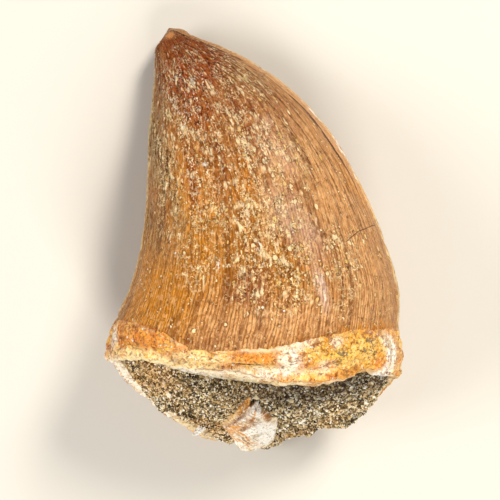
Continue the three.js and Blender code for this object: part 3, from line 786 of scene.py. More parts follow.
def makeEnamel():
    look, tones = enamelLook, enamelTones
    material, shader, place = newFinish("enamelFinish", 0.3, 0.1)
    along = readMask("flow", "Vector")
    masks = {name: readMask(name) for name in look["masks"]}
    wild = {name: noisy(stretched(along, (1, 1, far)), *rest) for name, (far, *rest) in look["noise"].items()}
    streaks, threads, fine, fizz = (wild[name] for name in ("streaks", "threads", "fine", "fizz"))
    patchy = noisy(place, 1.1, 4.0, 0.6)

    def tint(tone, mask, share=1.0):
        nonlocal colour
        colour = layer(colour, tones[tone], mask, share)

    colour = mottled(stretched(along, (1, 1, 0.3)), 0.5, 0.45, tones["base"])
    # stains on the face, and a painted sheen among them
    for name, driver, low, high in (
        ("tan", patchy, 0.6, 0.95), ("gold", streaks, 0.5, 1.0), ("mauve", patchy, 0.6, 1.0),
        ("mist", patchy, 0.6, 1.0), ("ash", patchy, 0.5, 0.9),
    ):
        tint(name, masks[name], window(driver, 0.3, 0.65, (low, high)))
    for tone, driver, low, high, share in (
        ("streak", streaks, 0.49, 0.64, 0.62), ("fibre", streaks, 0.46, 0.32, 0.3),
        ("streak", threads, 0.52, 0.68, 0.6), ("fibre", threads, 0.46, 0.32, 0.45),
    ):
        tint(tone, window(driver, low, high), share)
    tint("rust", masks["rust"], window(streaks, 0.3, 0.6, (0.5, 1.0)))
    tint("dark", masks["grooves"], 0.7)

    # thin dark lines that run from the band towards the tip
    way = put("SeparateXYZ", {"Vector": along}).outputs
    turn = times(math2("ARCTAN2", way["Y"], way["X"]), look["lineCount"])
    phase = plus(turn, plus(times(wild["bend"], look["lineWander"]), times(wild["wobble"], 2.2)))
    lines = times(
        window(math2("COSINE", phase), 0.25, 0.9), window(way["Z"], 6.0, 15.0, (1.0, 0.45)),
        window(streaks, 0.62, 0.4, (0.45, 1.0)), window(way["Z"], 34.0, 24.0, (0.2, 1.0)))
    tint("lines", lines, look["lineShare"])
    tint("streak", masks["chalk"], 0.18)
    darkShare = plus(window(masks["rust"], 0.1, 0.7, (0.3, 0.95)), times(masks["ash"], 0.5))
    # fewer dark dots where the sheen is painted
    darkShare = times(darkShare, window(masks["mist"], 0.2, 0.9, (1.0, 0.35)))
    tint("dark", window(fine, 0.465, 0.39), darkShare)
    creamShare = times(window(masks["chalk"], 0.1, 0.7, (0.2, 0.36)), window(masks["rust"], 0.2, 0.8, (1.0, 0.05)))
    tint("creamBeads", window(fine, 0.545, 0.61), creamShare)

    # small crooked flecks, gold and cream, white where the enamel is red, these white ones partly painted glints
    flecked = times(
        window(patchy, 0.36, 0.52, (0.35, 1.0)), window(masks["chalk"], 0.05, 0.8),
        window(wild["strips"], 0.44, 0.57, (0.08, 1.0)))
    tint("dark", window(fizz, 0.45, 0.38), times(flecked, 0.5))
    fleckAndGlintWhite = times(masks["rust"], 0.6)
    fleckTone = over(paint(tones["gilt"]), paint(tones["creamBeads"]), window(fizz, 0.57, 0.63))
    fleckTone = over(fleckTone, paint(tones["whiteBeads"]), fleckAndGlintWhite)
    start = plus(times(masks["rust"], 0.055), 0.55)
    colour = over(colour, fleckTone, times(window(fizz, start, plus(start, 0.02)), flecked))

    # the bare strip along the right edge, and the seams beside it
    upper = window(way["Z"], 10.0, 17.0)
    bare = times(window(masks["fromEdge"], 0.95, 0.6), upper)
    tint("tan", bare, window(fine, 0.38, 0.5, (0.35, 0.75)))
    drift = plus(masks["fromEdge"], times(wild["sway"], 0.9))
    seam = window(math2("ABSOLUTE", minus(drift, 1.15)), 0.13, 0.06)
    seam = times(seam, window(streaks, 0.36, 0.46, (0.4, 1.0)))
    beside = times(
        window(math2("COSINE", times(drift, 17.0)), 0.5, 0.95), window(streaks, 0.46, 0.54, (0.0, 0.8)),
        window(masks["fromEdge"], 0.8, 1.1), window(masks["fromEdge"], 5.0, 3.4))
    seam = times(math2("MAXIMUM", seam, beside), upper, window(way["Z"], 37.0, 35.0))
    tint("dark", seam, 0.95)

    # crooked pale threads where most is stuck to the enamel
    crooked = times(
        window(math2("ABSOLUTE", minus(wild["crooked"], 0.5)), 0.07, 0.02), window(fine, 0.44, 0.54),
        window(masks["chalk"], 0.1, 0.7), window(patchy, 0.5, 0.6))
    tint("crust", crooked, 0.8)

    # what has stuck to the enamel: chains of beads, crusts, and small pits between them
    amount = times(
        plus(masks["chalk"], 0.02), window(wild["chains"], 0.4, 0.62, (0.25, 1.0)),
        window(patchy, 0.38, 0.55, (0.35, 1.0)), window(masks["rust"], 0.2, 0.8, (1.0, 0.5)))
    height = crooked
    for (size, share), vector in zip(look["beadLayers"], (stretched(along, (1.0, 1.0, 0.75)), place)):
        beads = useGroup(beadGroup, Vector=vector, Size=size, Amount=times(amount, share), Warp=0.8 / size)
        tone = over(paint(tones["goldBeads"]), paint(tones["creamBeads"]), window(beads["Tone"], 0.3, 0.6))
        if size > 3:
            tone = over(tone, paint(tones["whiteBeads"]), window(beads["Tone"], 0.94, 0.96))
        # painted shade round the beads
        tint("streak", beads["ShadeRing"], 0.5)
        colour = over(colour, tone, times(beads["Mask"], 0.9))
        height = plus(beads["Mask"], height)
    for size, share in look["speckLayers"]:
        held = math2("MAXIMUM", times(amount, share), masks["clots"])
        specks = specked(stretched(along, (1.0, 1.0, 0.7)), size, held, 0.03)
        # painted shade round the specks
        tint("dark", specks["ShadeRing"], window(masks["rust"], 0.1, 0.7, (0.45, 0.65)))
        tone = over(paint(tones["gilt"]), paint(tones["crust"]), window(fine, 0.42, 0.56))
        # white where the enamel is red, partly painted glints
        tone = over(tone, paint(tones["whiteBeads"]), fleckAndGlintWhite)
        colour = over(colour, tone, times(specks["Mask"], 0.9))
        height = plus(specks["Mask"], height)
    pits = specked(place, 3.4, 0.3, 0.04)["Mask"]
    tint("dark", pits, 0.7)
    tint("crust", masks["crust"], window(fine, 0.4, 0.55, (0.1, 0.9)))

    # the band's stain on the last of the enamel, the worn tip, and the pale edges, which are wear and a painted rim
    # highlight
    blots = noisy(place, 1.9, 5.0, 0.75)
    seep = plus(times(masks["nearBand"], plus(masks["sideBand"], 0.1), 0.27), blots)
    tint("bandStain", window(seep, 0.7, 0.86), window(fine, 0.4, 0.52, (0.5, 0.9)))
    tint("umber", masks["umber"], window(blots, 0.46, 0.56, (0.0, 0.85)))
    ragged = plus(masks["amber"], times(minus(fine, 0.5), 2.6))
    tint("amber", window(ragged, 0.25, 0.6), 0.8)
    # pale cutting edges: wear, with a painted rim highlight along them
    tint("wornAndRimLit", masks["keelWear"], window(fine, 0.38, 0.5, (0.3, 1.0)))
    leftChips = times(window(masks["fromLeft"], 0.34, 0.16), window(way["Z"], 24.0, 30.0))
    chipped = math2("MAXIMUM", window(masks["fromEdge"], 0.22, 0.12), leftChips)
    chipped = times(chipped, window(wild["chipped"], 0.54, 0.58), upper)
    tint("whiteBeads", chipped, window(fine, 0.42, 0.5, (0.3, 0.9)))

    # cracks and scratches, and a streak of painted highlight drawn like a scratch
    cut = times(seam, -1.0)
    for name, tone in (("crack", "crack"), ("scratches", "scratch")):
        for start, end, width, wander in crownMarks[name]:
            line = useGroup(lineGroup, Vector=place, Start=(*start, 0), End=(*end, 0), Width=width, Wander=wander)
            line = times(line["Mask"], masks["faceSide"])
            if name == "crack":
                cut = minus(cut, line)
            else:
                line = times(line, window(fine, 0.42, 0.52, (0.2, 1.0)))
            tint(tone, line, 0.85)
    tint("whiteBeads", masks["crystals"], window(fine, 0.44, 0.54))
    feed(shader["Base Color"], colour)
    deposits = math2("MINIMUM", plus(height, masks["crust"]), 1.0)
    feed(shader["Roughness"], window(deposits, 0.0, 1.0, look["gloss"]))
    height = minus(plus(height, times(threads, 1.6)), plus(pits, times(lines, 0.8)))
    addBump(shader, plus(plus(height, times(fine, 2.5)), cut), 0.85, look["bump"])
    return material


# finish of the root band and of the broken wall below it
bandTones = {
    "base": ((206, 120, 20), (236, 172, 70), (250, 218, 142)),
    "orange": (226, 134, 8),
    "white": (255, 248, 234),
    "cream": (255, 234, 176),
    "yellow": (238, 186, 66),
    "grey": (112, 98, 76),
    "cracks": (126, 62, 18),
    "pores": (96, 54, 22),
    "edge": (250, 222, 184),
    "umber": (134, 66, 12),
    # curved layers: distance at which each one starts, and its tone
    "swirl": [(0.9, (232, 212, 184)), (1.2, (228, 180, 122)), (1.42, (255, 250, 242)), (1.75, (190, 176, 160)),
              (1.95, (255, 250, 240)), (2.3, (216, 168, 112))],
    "wall": ((198, 156, 98), (230, 206, 160), (248, 238, 214)),
}


def stainedBand(colour, breakUp, place):
    # the placed stains that the band and the broken wall share, with one white strip among them a painted
    # highlight, and the curved layers at its right end
    tones = bandTones
    for name, strength in (("orange", 0.95), ("cream", 0.9), ("yellow", 0.9), ("white", 0.97)):
        colour = layer(colour, tones[name], readMask(name), window(breakUp, 0.36, 0.54, (0.25, strength)))
    spot = vector2("MULTIPLY", vector2("SUBTRACT", place, (*crownMarks["swirlCentre"], 0)), (1.0, 0.85, 0.0))
    away = plus(vector2("LENGTH", spot, output="Value"), times(breakUp, 0.7))
    rings = paint(tones["swirl"][0][1])
    for start, tone in tones["swirl"][1:]:
        rings = over(rings, paint(tone), window(away, start, start + 0.22))
    wave = window(math2("COSINE", times(away, 34.0)), 0.2, 0.9)
    rings = layer(rings, tones["grey"], wave, window(breakUp, 0.4, 0.6, (0.1, 0.4)))
    colour = over(colour, rings, times(readMask("swirl"), window(away, 1.2, 1.5)))
    return layer(colour, tones["umber"], readMask("umber"), window(breakUp, 0.46, 0.56, (0.0, 0.85)))


def makeBand():
    tones = bandTones
    material, shader, place = newFinish("rootBandFinish", 0.5)
    breakUp = noisy(place, 1.9, 5.0, 0.72)
    fine = noisy(place, 4.2, 3.0, 0.65)
    blots = noisy(place, 1.7, 3.0, 0.6)
    colour = stainedBand(mottled(place, 0.9, 0.85, tones["base"]), breakUp, place)
    lessOnOrange = window(readMask("orange"), 0.2, 0.7, (1.0, 0.3))
    for tone, driver, low, high, share in (
        ("cracks", fine, 0.45, 0.34, 1.0), ("cream", fine, 0.54, 0.65, lessOnOrange),
        ("umber", blots, 0.43, 0.34, 1.0), ("yellow", blots, 0.56, 0.66, 1.0),
    ):
        colour = layer(colour, tones[tone], window(driver, low, high, (0.0, 0.6)), share)
    height = 0.0
    for tone, size, amount, share in (
        ("orange", 2.6, 0.5, 0.8), ("white", 3.2, 0.45, 0.7), ("cracks", 3.6, 0.5, 0.8), ("umber", 2.2, 0.3, 0.6),
        ("grey", 2.8, times(readMask("grey"), 0.9), 0.85),
    ):
        specks = specked(place, size, amount)["Mask"]
        colour = layer(colour, tones[tone], specks, share)
        height = (minus if tone in ("cracks", "grey") else plus)(height, specks)
    for tone, name, share in (("cracks", "bandCracks", 0.6), ("pores", "pores", 0.65), ("edge", "edgeLine", 0.7)):
        colour = layer(colour, tones[tone], readMask(name), share)
    feed(shader["Base Color"], colour)
    feed(shader["Roughness"], window(breakUp, 0.3, 0.7, (0.36, 0.62)))
    addBump(shader, plus(times(height, 0.35), grained(place, 2.4, 6.5)), 0.9, 0.12)
    return material


def makeWall():
    tones = bandTones
    material, shader, place = newFinish("brokenWallFinish", 0.55)
    colour = stainedBand(mottled(place, 1.3, 0.7, tones["wall"]), noisy(place, 2.2, 5.0, 0.7), place)
    layers = noisy(stretched(place, (0.3, 1, 1)), 4.5, 3.0, 0.65)
    specks = specked(place, 4.5, 0.4)["Mask"]
    colour = layer(colour, tones["cracks"], window(layers, 0.55, 0.66), 0.75)
    colour = layer(colour, tones["pores"], specks, 0.5)
    colour = layer(colour, tones["cracks"], readMask("edgeLine"), 0.75)
    feed(shader["Base Color"], colour)
    addBump(shader, minus(grained(place, 2.6, 7.0), times(specks, 0.4)), 0.9, 0.12)
    return material


for material in (makeEnamel(), makeBand(), makeWall()):
    crown.data.materials.append(material)
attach(crown, "root")
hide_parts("crown")
print("crown finished")


# the chip of bone: a ball cut flat on its sides, then roughened
chipForm = {
    "centre": (-1.6, -14.9, 6.5),
    "radii": (3.2, 4.6, 5.2),
    "facets": [
        ((-0.45, -0.72, 0.53), 2.15), ((0.2, -0.84, 0.5), 2.05), ((-0.85, 0.0, 0.52), 2.5),
        ((0.85, -0.1, 0.5), 2.6), ((0.98, -0.15, -0.1), 1.6), ((-0.97, -0.1, -0.2), 2.5),
        ((-0.2, -0.6, -0.77), 4.4), ((0.05, -0.97, -0.2), 3.5), ((0.1, 1.0, -0.1), 1.95),
        ((-0.465, 0.885, 0.15), 1.55), ((0.7, 0.7, 0.1), 2.2), ((0.435, -0.9, -0.1), 3.25),
    ],
    "proud": 0.12,  # how far it stands out of its facets, to reach the sandstone round it
    "voxel": 0.08,
    "lumps": 0.11,
    "grain": 0.07,
}


def unit(vector):
    return np.array(vector) / np.linalg.norm(vector)


def chipDistance(points):
    # how far outside the chip's facets, in mm; below 0 is inside
    away = np.full(np.shape(points)[:-1], -99.0)
    for towards, reach in chipForm["facets"]:
        away = np.maximum(away, (points - np.array(chipForm["centre"])) @ unit(towards) - reach)
    return away


# the sandstone: its broken surface, and its hidden part in the cavity
matrixForm = {
    "recess": 1.6,  # how far it lies inside the rim under the face
    "lap": 0.95,  # and how far it stands out over the rim at the back
    "knobs": [  # place across and up, width, height
        (0.76, -0.52, 0.17, 0.5), (0.9, -0.25, 0.16, -0.2), (0.5, -0.7, 0.25, -0.6), (-0.25, -0.95, 0.2, -0.55),
        (0.36, -0.82, 0.14, -0.2), (0.58, -0.5, 0.12, -0.3), (0.17, -0.9, 0.1, 0.6), (-0.15, 0.2, 0.3, 0.5),
        (0.35, 0.45, 0.3, -0.9),
    ],
    "ringCentre": (-0.1, -0.3),
    "drawnIn": 0.12,
    # how far it falls back near the rim: where the wall is covered, where it is bare, and at the very edge
    "coveredDrop": 0.55,
    "bareDrop": 0.75,
    "edgeDrop": 1.5,
    "swells": [(4, 5.5, 0.5), (10, 1.5, 0.25)],  # scale, seed, height
    "hiddenStations": (4.9, 4.8, 4.2, 3.2, 2.2, 1.2, 0.5),
    "hiddenShare": 0.95,
    "shownShare": 0.985,
    "chipDent": 0.35,  # how far the sandstone falls back round the chip
    "columns": 560,
    "shownRows": 120,
    "lumps": [(0.35, 0.55, 12.0, 1), (0.2, 1.4, 2.0, 2), (0.1, 4.0, 8.0, 2)],  # height, scale, seed, octaves
}


def bareRim(across, up):
    # where the wall's broken edge is bare
    return np.maximum(smooth(-across, 0.45, 0.65), smooth(-across, 0.2, 0.4) * smooth(-up, 0.25, 0.5))


def matrixOut(across, up):
    form = matrixForm
    bare = bareRim(across, up)
    level = mixed(form["lap"], -form["recess"], smooth(up, -0.5, 0.9))
    for placeAcross, placeUp, width, height in form["knobs"]:
        level = level + height * np.exp(-((across - placeAcross) ** 2 + (up - placeUp) ** 2) / width**2)
    flat = np.stack([across, up, 0 * across], -1)
    for scale, seed, height in form["swells"]:
        level = level + height * roughness(flat * scale + (0, 0, seed), 1)
    share = np.hypot(across, up)
    covered, opened = form["coveredDrop"] * smooth(share, 0.84, 0.96), form["bareDrop"] * smooth(share, 0.45, 0.85)
    return level - mixed(covered, opened, bare) - form["edgeDrop"] * smooth(share, 0.965, 0.985)


def matrixSurface(share, angle):
    # a point of the broken surface, with share from 0 at the ring centre to 1 at the rim
    centreAcross, centreUp = matrixForm["ringCentre"]
    across = share * np.cos(angle) + (1 - share) * centreAcross
    up = share * np.sin(angle) + (1 - share) * centreUp
    drawnIn = np.hypot(across, up) * (1 - matrixForm["drawnIn"] * bareRim(across, up))
    return skinPoint(0.0, np.arctan2(up, across), drawnIn) + outward * matrixOut(across, up)[..., None]


print("shaping the sandstone")
matrixAngle = turnSteps(matrixForm["columns"])
hiddenS = np.array(matrixForm["hiddenStations"])[:, None] + 0 * matrixAngle
hiddenShare = np.full(hiddenS.shape, matrixForm["hiddenShare"])
hiddenShare[0] = 0
hidden = skinPoint(hiddenS, np.broadcast_to(matrixAngle, hiddenS.shape), hiddenShare)
shownShare = np.linspace(1, 0, matrixForm["shownRows"])[:, None] ** 0.9 * matrixForm["shownShare"] + 0 * matrixAngle
shown = matrixSurface(shownShare, np.broadcast_to(matrixAngle, shownShare.shape))
matrixPoints = np.concatenate([hidden, shown])
dent = matrixForm["chipDent"] * (1 - smooth(chipDistance(matrixPoints), 0.2, 1.4))
dent[: len(hidden)] = 0
matrixPoints = matrixPoints - outward * dent[..., None]
matrixNormals = gridNormals(matrixPoints)
if matrixNormals[-40, 0] @ outward < 0:  # a point of the broken surface
    matrixNormals = -matrixNormals
sandLumps = sum(height * roughness(matrixPoints, *rest) for height, *rest in matrixForm["lumps"])
sandLumps[: len(hidden)] = 0
matrixPoints = matrixPoints + matrixNormals * sandLumps[..., None]
matrixPoints[0], matrixPoints[-1] = matrixPoints[0, 0], matrixPoints[-1, 0]
matrix = wrapGrid("sandstoneFill", len(matrixPoints), matrixForm["columns"])
setPoints(matrix, matrixPoints)
closeGrid(matrix)
bpy.ops.object.shade_smooth()
print("sandstone", len(matrix.data.polygons), "faces")


def cutStone(name, form):
    # a ball, cut flat on each of its sides, meshed evenly and roughened
    centre = np.array(form["centre"])
    bpy.ops.object.select_all(action="DESELECT")
    bpy.ops.mesh.primitive_ico_sphere_add(subdivisions=5, radius=1)
    piece = bpy.context.object
    piece.name = piece.data.name = name
    setPoints(piece, getPoints(piece) * mm * (np.array(form["radii"]) + form["proud"]) + centre)
    activate(piece)
    for towards, reach in form["facets"]:
        bpy.ops.object.mode_set(mode="EDIT")
        bpy.ops.mesh.select_all(action="SELECT")
        spot = centre + unit(towards) * (reach + form["proud"])
        bpy.ops.mesh.bisect(plane_co=spot * mm, plane_no=unit(towards), use_fill=True, clear_outer=True)
        bpy.ops.object.mode_set(mode="OBJECT")
    applyModifier(piece, "REMESH", mode="VOXEL", voxel_size=form["voxel"] * mm)
    points, normals = getPoints(piece), readVectors(piece.data.vertex_normals, "vector")
    ridged = 0.25 - np.abs(roughness(points, 0.9, 4.0, 2))
    off = form["lumps"] * (roughness(points, 1.1, 3.0, 2) + ridged) + form["grain"] * roughness(points, 3.2, 9.0, 2)
    setPoints(piece, points + normals * off[:, None])
    bpy.ops.object.shade_smooth()
    return piece


chip = cutStone("boneChip", chipForm)
print("chip", len(chip.data.polygons), "faces")

# slivers of bone, left on the broken surface: centre, half sizes, turn about the vertical, tilt
sliverForm = {
    "places": [
        ((-2.85, -14.2, 9.7), (2.75, 0.62, 0.95), 38, 51), ((-6.05, -15.4, 5.4), (1.35, 0.34, 0.7), 26, -20),
        ((5.6, -17.2, 6.9), (0.6, 0.28, 0.4), 12, 10),
    ],
    "stone": {
        "centre": (0, 0, 0), "radii": (1, 1, 1), "proud": 0.0, "voxel": 0.07, "lumps": 0.07, "grain": 0.05,
        "facets": [((0.5, 0.3, 0.8), 0.62), ((-0.6, 0.2, 0.75), 0.66), ((0.1, -0.9, 0.3), 0.7),
                   ((-0.9, -0.3, 0.1), 0.8), ((0.8, -0.5, -0.1), 0.78), ((0.1, 0.2, -1.0), 0.7)],
    },
}


def makeSlivers():
    pieces = []
    for centre, size, turn, tilt in sliverForm["places"]:
        piece = cutStone("boneSliver", sliverForm["stone"])
        t, p = math.radians(turn), math.radians(tilt)
        tilted = getPoints(piece) * size @ np.array([[math.cos(p), 0, math.sin(p)], [0, 1, 0],
                                                     [-math.sin(p), 0, math.cos(p)]])
        turned = tilted @ np.array([[math.cos(t), math.sin(t), 0], [-math.sin(t), math.cos(t), 0], [0, 0, 1]])
        setPoints(piece, turned + np.array(centre))
        pieces.append(piece)
    activate(pieces[0])
    for piece in pieces:
        piece.select_set(True)
    bpy.ops.object.join()
    joined = bpy.context.object
    joined.name = joined.data.name = "boneSlivers"
    return joined


slivers = makeSlivers()


# sand grains on the broken surface, one grain copied and then jittered
grainForm = {
    "count": 9200,
    "size": (0.065, 0.145),
    "crumbs": 15000,
    "crumbSize": (0.045, 0.095),
    "pebbles": 110,
    "pebbleSize": (0.14, 0.24),
    "pebblePlace": (4.6, -17.0, 4.2),  # x, y and radius of the place with most pebbles
    "elsewhere": 0.12,  # share of pebbles away from that place
    "pebbleTones": (0.55, 1.0),
    "mostlySmall": 1.8,  # 1 would spread the sizes evenly
    "axes": (0.5, 1.5),  # how long each grain is along its three axes
    "corners": (0.7, 1.2),  # how far its corners stand out
    "sunk": 0.1,
    "seed": 7,
}


def makeGrains(name, count, sizes, pebbles, seed):
    form = grainForm
    rng = np.random.default_rng(seed)
    # places: on shown faces, drawn by area
    grid = matrixPoints[len(hidden):]
    normals = matrixNormals[len(hidden):]
    a, b, c = grid[:-1, :-1], grid[1:, :-1], grid[:-1, 1:]
    area = np.linalg.norm(np.cross(b - a, c - a), axis=2)
    area[:4] = 0  # none in the rows at the rim
    picks = rng.choice(area.size, size=count * 2, p=(area / area.sum()).ravel())
    row, column = np.unravel_index(picks, area.shape)
    s, t = rng.random((2, len(picks), 1))
    places = a[row, column] + (b - a)[row, column] * s + (c - a)[row, column] * t
    normals = normals[row, column]
    kept = (chipDistance(places) > chipForm["proud"] - 0.05) & (places[:, 2] > 0.2)
    places, normals = places[kept][:count], normals[kept][:count]
    count = len(places)
    bpy.ops.object.select_all(action="DESELECT")
    if pebbles:
        bpy.ops.mesh.primitive_ico_sphere_add(subdivisions=1, radius=mm)
    else:
        bpy.ops.mesh.primitive_cube_add(size=1.6 * mm)
    piece = bpy.context.object
    piece.name = piece.data.name = name
    one = getPoints(piece)
    applyModifier(piece, "ARRAY", count=count, use_relative_offset=False)
    size = mixed(*sizes, rng.random((count, 1, 1)) ** form["mostlySmall"])
    tone = rng.random(count)
    if pebbles:
        # pebbles gather at one side
        x, y, reach = form["pebblePlace"]
        near = np.exp(-(((places[:, 0] - x) ** 2 + (places[:, 1] - y) ** 2) / reach**2)) + form["elsewhere"]
        large = rng.choice(count, size=pebbles, replace=False, p=near / near.sum())
        size[large, 0, 0] = rng.uniform(*form["pebbleSize"], pebbles)
        tone[large] = rng.uniform(*form["pebbleTones"], pebbles)
    axes = rng.uniform(*form["axes"], (count, 1, 3))
    knobbly = rng.uniform(*form["corners"], (count, len(one), 1))
    turns = np.linalg.qr(rng.normal(size=(count, 3, 3)))[0]
    turns[:, :, 0] *= np.sign(np.linalg.det(turns))[:, None]
    shapes = np.einsum("nij,nkj->nki", turns, one[None] * knobbly * axes * size)
    centres = places + normals * (size[:, 0] * form["sunk"])
    setPoints(piece, shapes + centres[:, None])
    keepMask(piece, "tone", np.repeat(tone, len(one)))
    bpy.ops.object.shade_flat()
    print(name, len(piece.data.polygons), "faces")
    return piece


grains = makeGrains("sandGrains", grainForm["count"], grainForm["size"], grainForm["pebbles"], grainForm["seed"])
crumbs = makeGrains("sandCrumbs", grainForm["crumbs"], grainForm["crumbSize"], 0, grainForm["seed"] + 1)


# finishes of the sandstone, its grains and the chip
sandTones = {
    # near-black sandstone between the grains, partly painted shade in the gaps
    "base": ((26, 18, 8), (66, 50, 28), (120, 96, 58)),
    "grains": [(0.0, (28, 20, 8)), (0.2, (74, 56, 30)), (0.4, (136, 112, 70)), (0.6, (206, 180, 128)),
               (0.78, (248, 230, 188)), (0.92, (255, 253, 242))],
    "specks": (214, 188, 136),
    # painted shade under the front lip
    "damp": (44, 24, 12),
    "ochre": (226, 170, 88),
}
sandMarks = {
    # painted shade under the front lip, and yellower places on the broken surface
    "damp": [
        ((3.8, -13.3), (5.2, 1.7), -4, 1), ((-0.4, -12.7), (3.4, 1.8), -8, 0.62), ((9.2, -14.2), (1.4, 1), 30, 0.7),
        ((-5, -11), (2.6, 0.5), -12, 0.45),
    ],
    "ochre": [
        ((-9, -9.9), (2.4, 1.6), -35, 0.7), ((-5.6, -15.4), (2.2, 0.9), -25, 0.7),
        ((2.4, -17.6), (3.4, 0.6), 12, 0.5),
    ],
}
chipTones = {
    "base": ((214, 186, 142), (242, 230, 206), (255, 250, 240)),
    # lilac grey of the left facet, partly painted shade
    "lilac": (222, 206, 196),
    "orange": (220, 148, 44),
    "tan": (240, 198, 130),
    "brown": (164, 104, 20),
    "umber": (104, 54, 2),
    "beige": (176, 154, 104),
    "white": (255, 253, 248),
}
chipMarks = {
    # lilac grey on the chip's left facet, partly painted shade
    "lilac": [((-2.95, -14.8), (1.2, 0.45), 33, 1), ((-3.6, -15.2), (0.7, 0.4), 33, 0.8)],
    "white": [
        ((-1.2, -14.2), (0.9, 0.8), 0, 1), ((-1.2, -16.8), (1.3, 1.2), 0, 1), ((-2.4, -16.4), (0.5, 0.5), 0, 0.7),
        ((-6.1, -15.6), (1.6, 0.6), 26, 0.9),
    ],
    "orange": [
        ((-3.2, -15.7), (0.5, 0.3), 20, 0.9), ((-1.7, -14.9), (0.9, 0.1), 60, 0.9),
        ((-2.7, -15.5), (0.9, 0.12), -30, 0.8), ((-2.1, -13.6), (0.9, 0.4), 38, 1), ((-3.7, -16), (0.7, 0.5), 0, 1),
        ((-3, -16.6), (1.5, 0.14), -50, 1), ((-3.6, -17), (1.3, 0.12), -50, 1), ((-0.55, -15), (0.4, 0.5), 0, 0.9),
        ((-2.5, -17.2), (0.9, 0.1), -50, 0.8),
    ],
    "tan": [((-3, -14.05), (2.6, 0.62), 38, 1)],
    "brown": [
        ((-1.9, -15.4), (0.45, 0.5), 0, 0.75), ((-2.9, -17.3), (0.6, 0.14), -50, 0.8),
        ((-2.9, -14.62), (1.7, 0.12), 38, 0.9), ((-2.6, -15.9), (0.5, 0.25), 20, 0.8),
        ((-0.5, -15.3), (0.4, 0.3), 0, 0.8), ((-0.6, -14.6), (0.35, 0.3), 0, 0.8),
    ],
    "beige": [((-1.85, -16.9), (0.5, 0.25), 10, 0.8), ((-0.3, -18), (0.9, 0.3), 20, 0.8)],
}


def makeSand():
    material, shader, place = newFinish("sandstoneFinish", 0.85)
    # near-black base between the grains, partly painted shade
    colour = mottled(place, 2.6, 0.85, sandTones["base"])
    colour = layer(colour, sandTones["specks"], specked(place, 5.0, 0.7, 0.04)["Mask"], 0.8)
    # ochre tint, and painted shade under the lip
    for name, share in (("ochre", 0.3), ("damp", 0.75)):
        colour = layer(colour, sandTones[name], readMask(name), share)
    feed(shader["Base Color"], colour)
    addBump(shader, grained(place, 3.0, 8.0), 1.0, 0.2)
    return material


def makeGrainFinish():
    material, shader, place = newFinish("sandGrainFinish", 0.22)
    ramp = put("ValToRGB", {"Fac": readMask("tone")})
    stops = ramp.color_ramp.elements
    for position, tone in sandTones["grains"][2:]:
        stops.new(position)
    for stop, (position, tone) in zip(stops, sandTones["grains"]):
        stop.position, stop.color = position, paint(tone)
    drift = window(noisy(place, 0.5, 3.0), 0.42, 0.66, (0.0, 0.2))
    colour = over(ramp.outputs["Color"], paint(sandTones["ochre"]), drift)
    lighter = window(readMask("tone"), 0.3, 0.6)
    # ochre on the lighter grains, and painted shade under the lip
    for name, share in (("ochre", times(lighter, 0.65)), ("damp", 0.62)):
        colour = layer(colour, sandTones[name], readMask(name), share)
    feed(shader["Base Color"], colour)
    return material


def makeChipFinish():
    tones = chipTones
    material, shader, place = newFinish("boneChipFinish", 0.42)
    breakUp = noisy(place, 2.4, 5.0, 0.72)
    fine = noisy(place, 4.0, 3.0, 0.65)
    colour = mottled(place, 1.3, 0.85, tones["base"])
    # the lilac grey among these is partly painted shade
    for name in ("lilac", "white", "tan", "orange", "beige", "brown"):
        colour = layer(colour, tones[name], readMask(name), window(breakUp, 0.38, 0.48, (0.15, 1.0)))
    colour = layer(colour, tones["orange"], specked(place, 3.6, 0.5)["Mask"], 0.6)
    deep = math2("LESS_THAN", fine, plus(times(readMask("brown"), 0.09), 0.43))
    colour = layer(colour, tones["umber"], deep, 0.55)
    colour = layer(colour, tones["white"], window(fine, 0.55, 0.66), 0.6)
    feed(shader["Base Color"], colour)
    addBump(shader, grained(place, 2.4, 8.0), 0.9, 0.14)
    return material


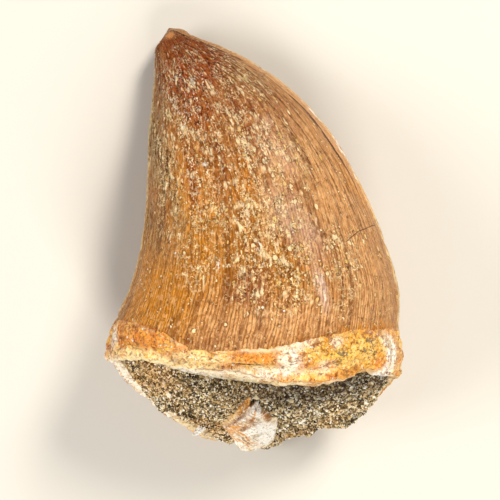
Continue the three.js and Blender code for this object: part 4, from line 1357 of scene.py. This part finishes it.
chipFinish, grainFinish = makeChipFinish(), makeGrainFinish()
for piece, marks, finish, node, slotName in (
    (matrix, sandMarks, makeSand(), "matrix", "sandstone"),
    (grains, sandMarks, grainFinish, "matrix", "sandstone"),
    (crumbs, sandMarks, grainFinish, "matrix", "sandstone"),
    (slivers, chipMarks, chipFinish, "matrix", "bone"),
    (chip, chipMarks, chipFinish, "bone_chip", "bone"),
):
    points = getPoints(piece)
    wander = 0.25 * roughness(points, 0.9, 5.0)[:, None]
    for name, places in marks.items():
        keepMask(piece, name, placed(points + wander, places))
    piece.data.materials.clear()
    piece.data.materials.append(finish)
    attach(piece, "root")
    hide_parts(node)
print("sandstone and chip finished")


# floor, lights and camera
studio = {
    "floor": (214, 211, 206),
    "floorSize": 1.2,
    "world": ((238, 238, 240), 0.24),
    # place in m, size in m, power in W, colour
    "lights": [
        ((0.14, 0.11, 0.19), 0.07, 0.64, (255, 246, 230)),
        ((-0.20, 0.03, 0.16), 0.12, 0.37, (255, 250, 242)),
        ((0.02, -0.20, 0.18), 0.09, 0.44, (255, 249, 236)),
    ],
    "cameraPlace": (0.001019, -0.001581, 0.110),
    "cameraTurn": -12.6,  # degrees about the vertical
    "lens": 88.1,
}


def makeStudio():
    bpy.ops.object.select_all(action="DESELECT")
    bpy.ops.mesh.primitive_plane_add(size=studio["floorSize"])
    floor = bpy.context.object
    floor.name = "floor"
    material, shader = newFinish("floorFinish", 0.9)[:2]
    feed(shader["Base Color"], paint(studio["floor"]))
    floor.data.materials.append(material)
    world = bpy.data.worlds.new("studio")
    world.use_nodes = True
    colour, strength = studio["world"]
    background = world.node_tree.nodes["Background"].inputs
    background["Color"].default_value, background["Strength"].default_value = paint(colour), strength
    bpy.context.scene.world = world
    for place, size, power, colour in studio["lights"]:
        bpy.ops.object.light_add(type="AREA", location=place)
        light = bpy.context.object
        light.data.size, light.data.energy, light.data.color = size, power, paint(colour)[:3]
        light.rotation_mode = "QUATERNION"
        light.rotation_quaternion = light.location.to_track_quat("Z", "Y")
    bpy.ops.object.camera_add(location=studio["cameraPlace"], rotation=(0, 0, math.radians(studio["cameraTurn"])))
    camera = bpy.context.object
    camera.data.lens = studio["lens"]
    camera.data.clip_start, camera.data.clip_end = 0.01, 5
    bpy.context.scene.camera = camera
    bpy.context.scene.view_settings.view_transform = "Standard"


makeStudio()
print("studio ready")
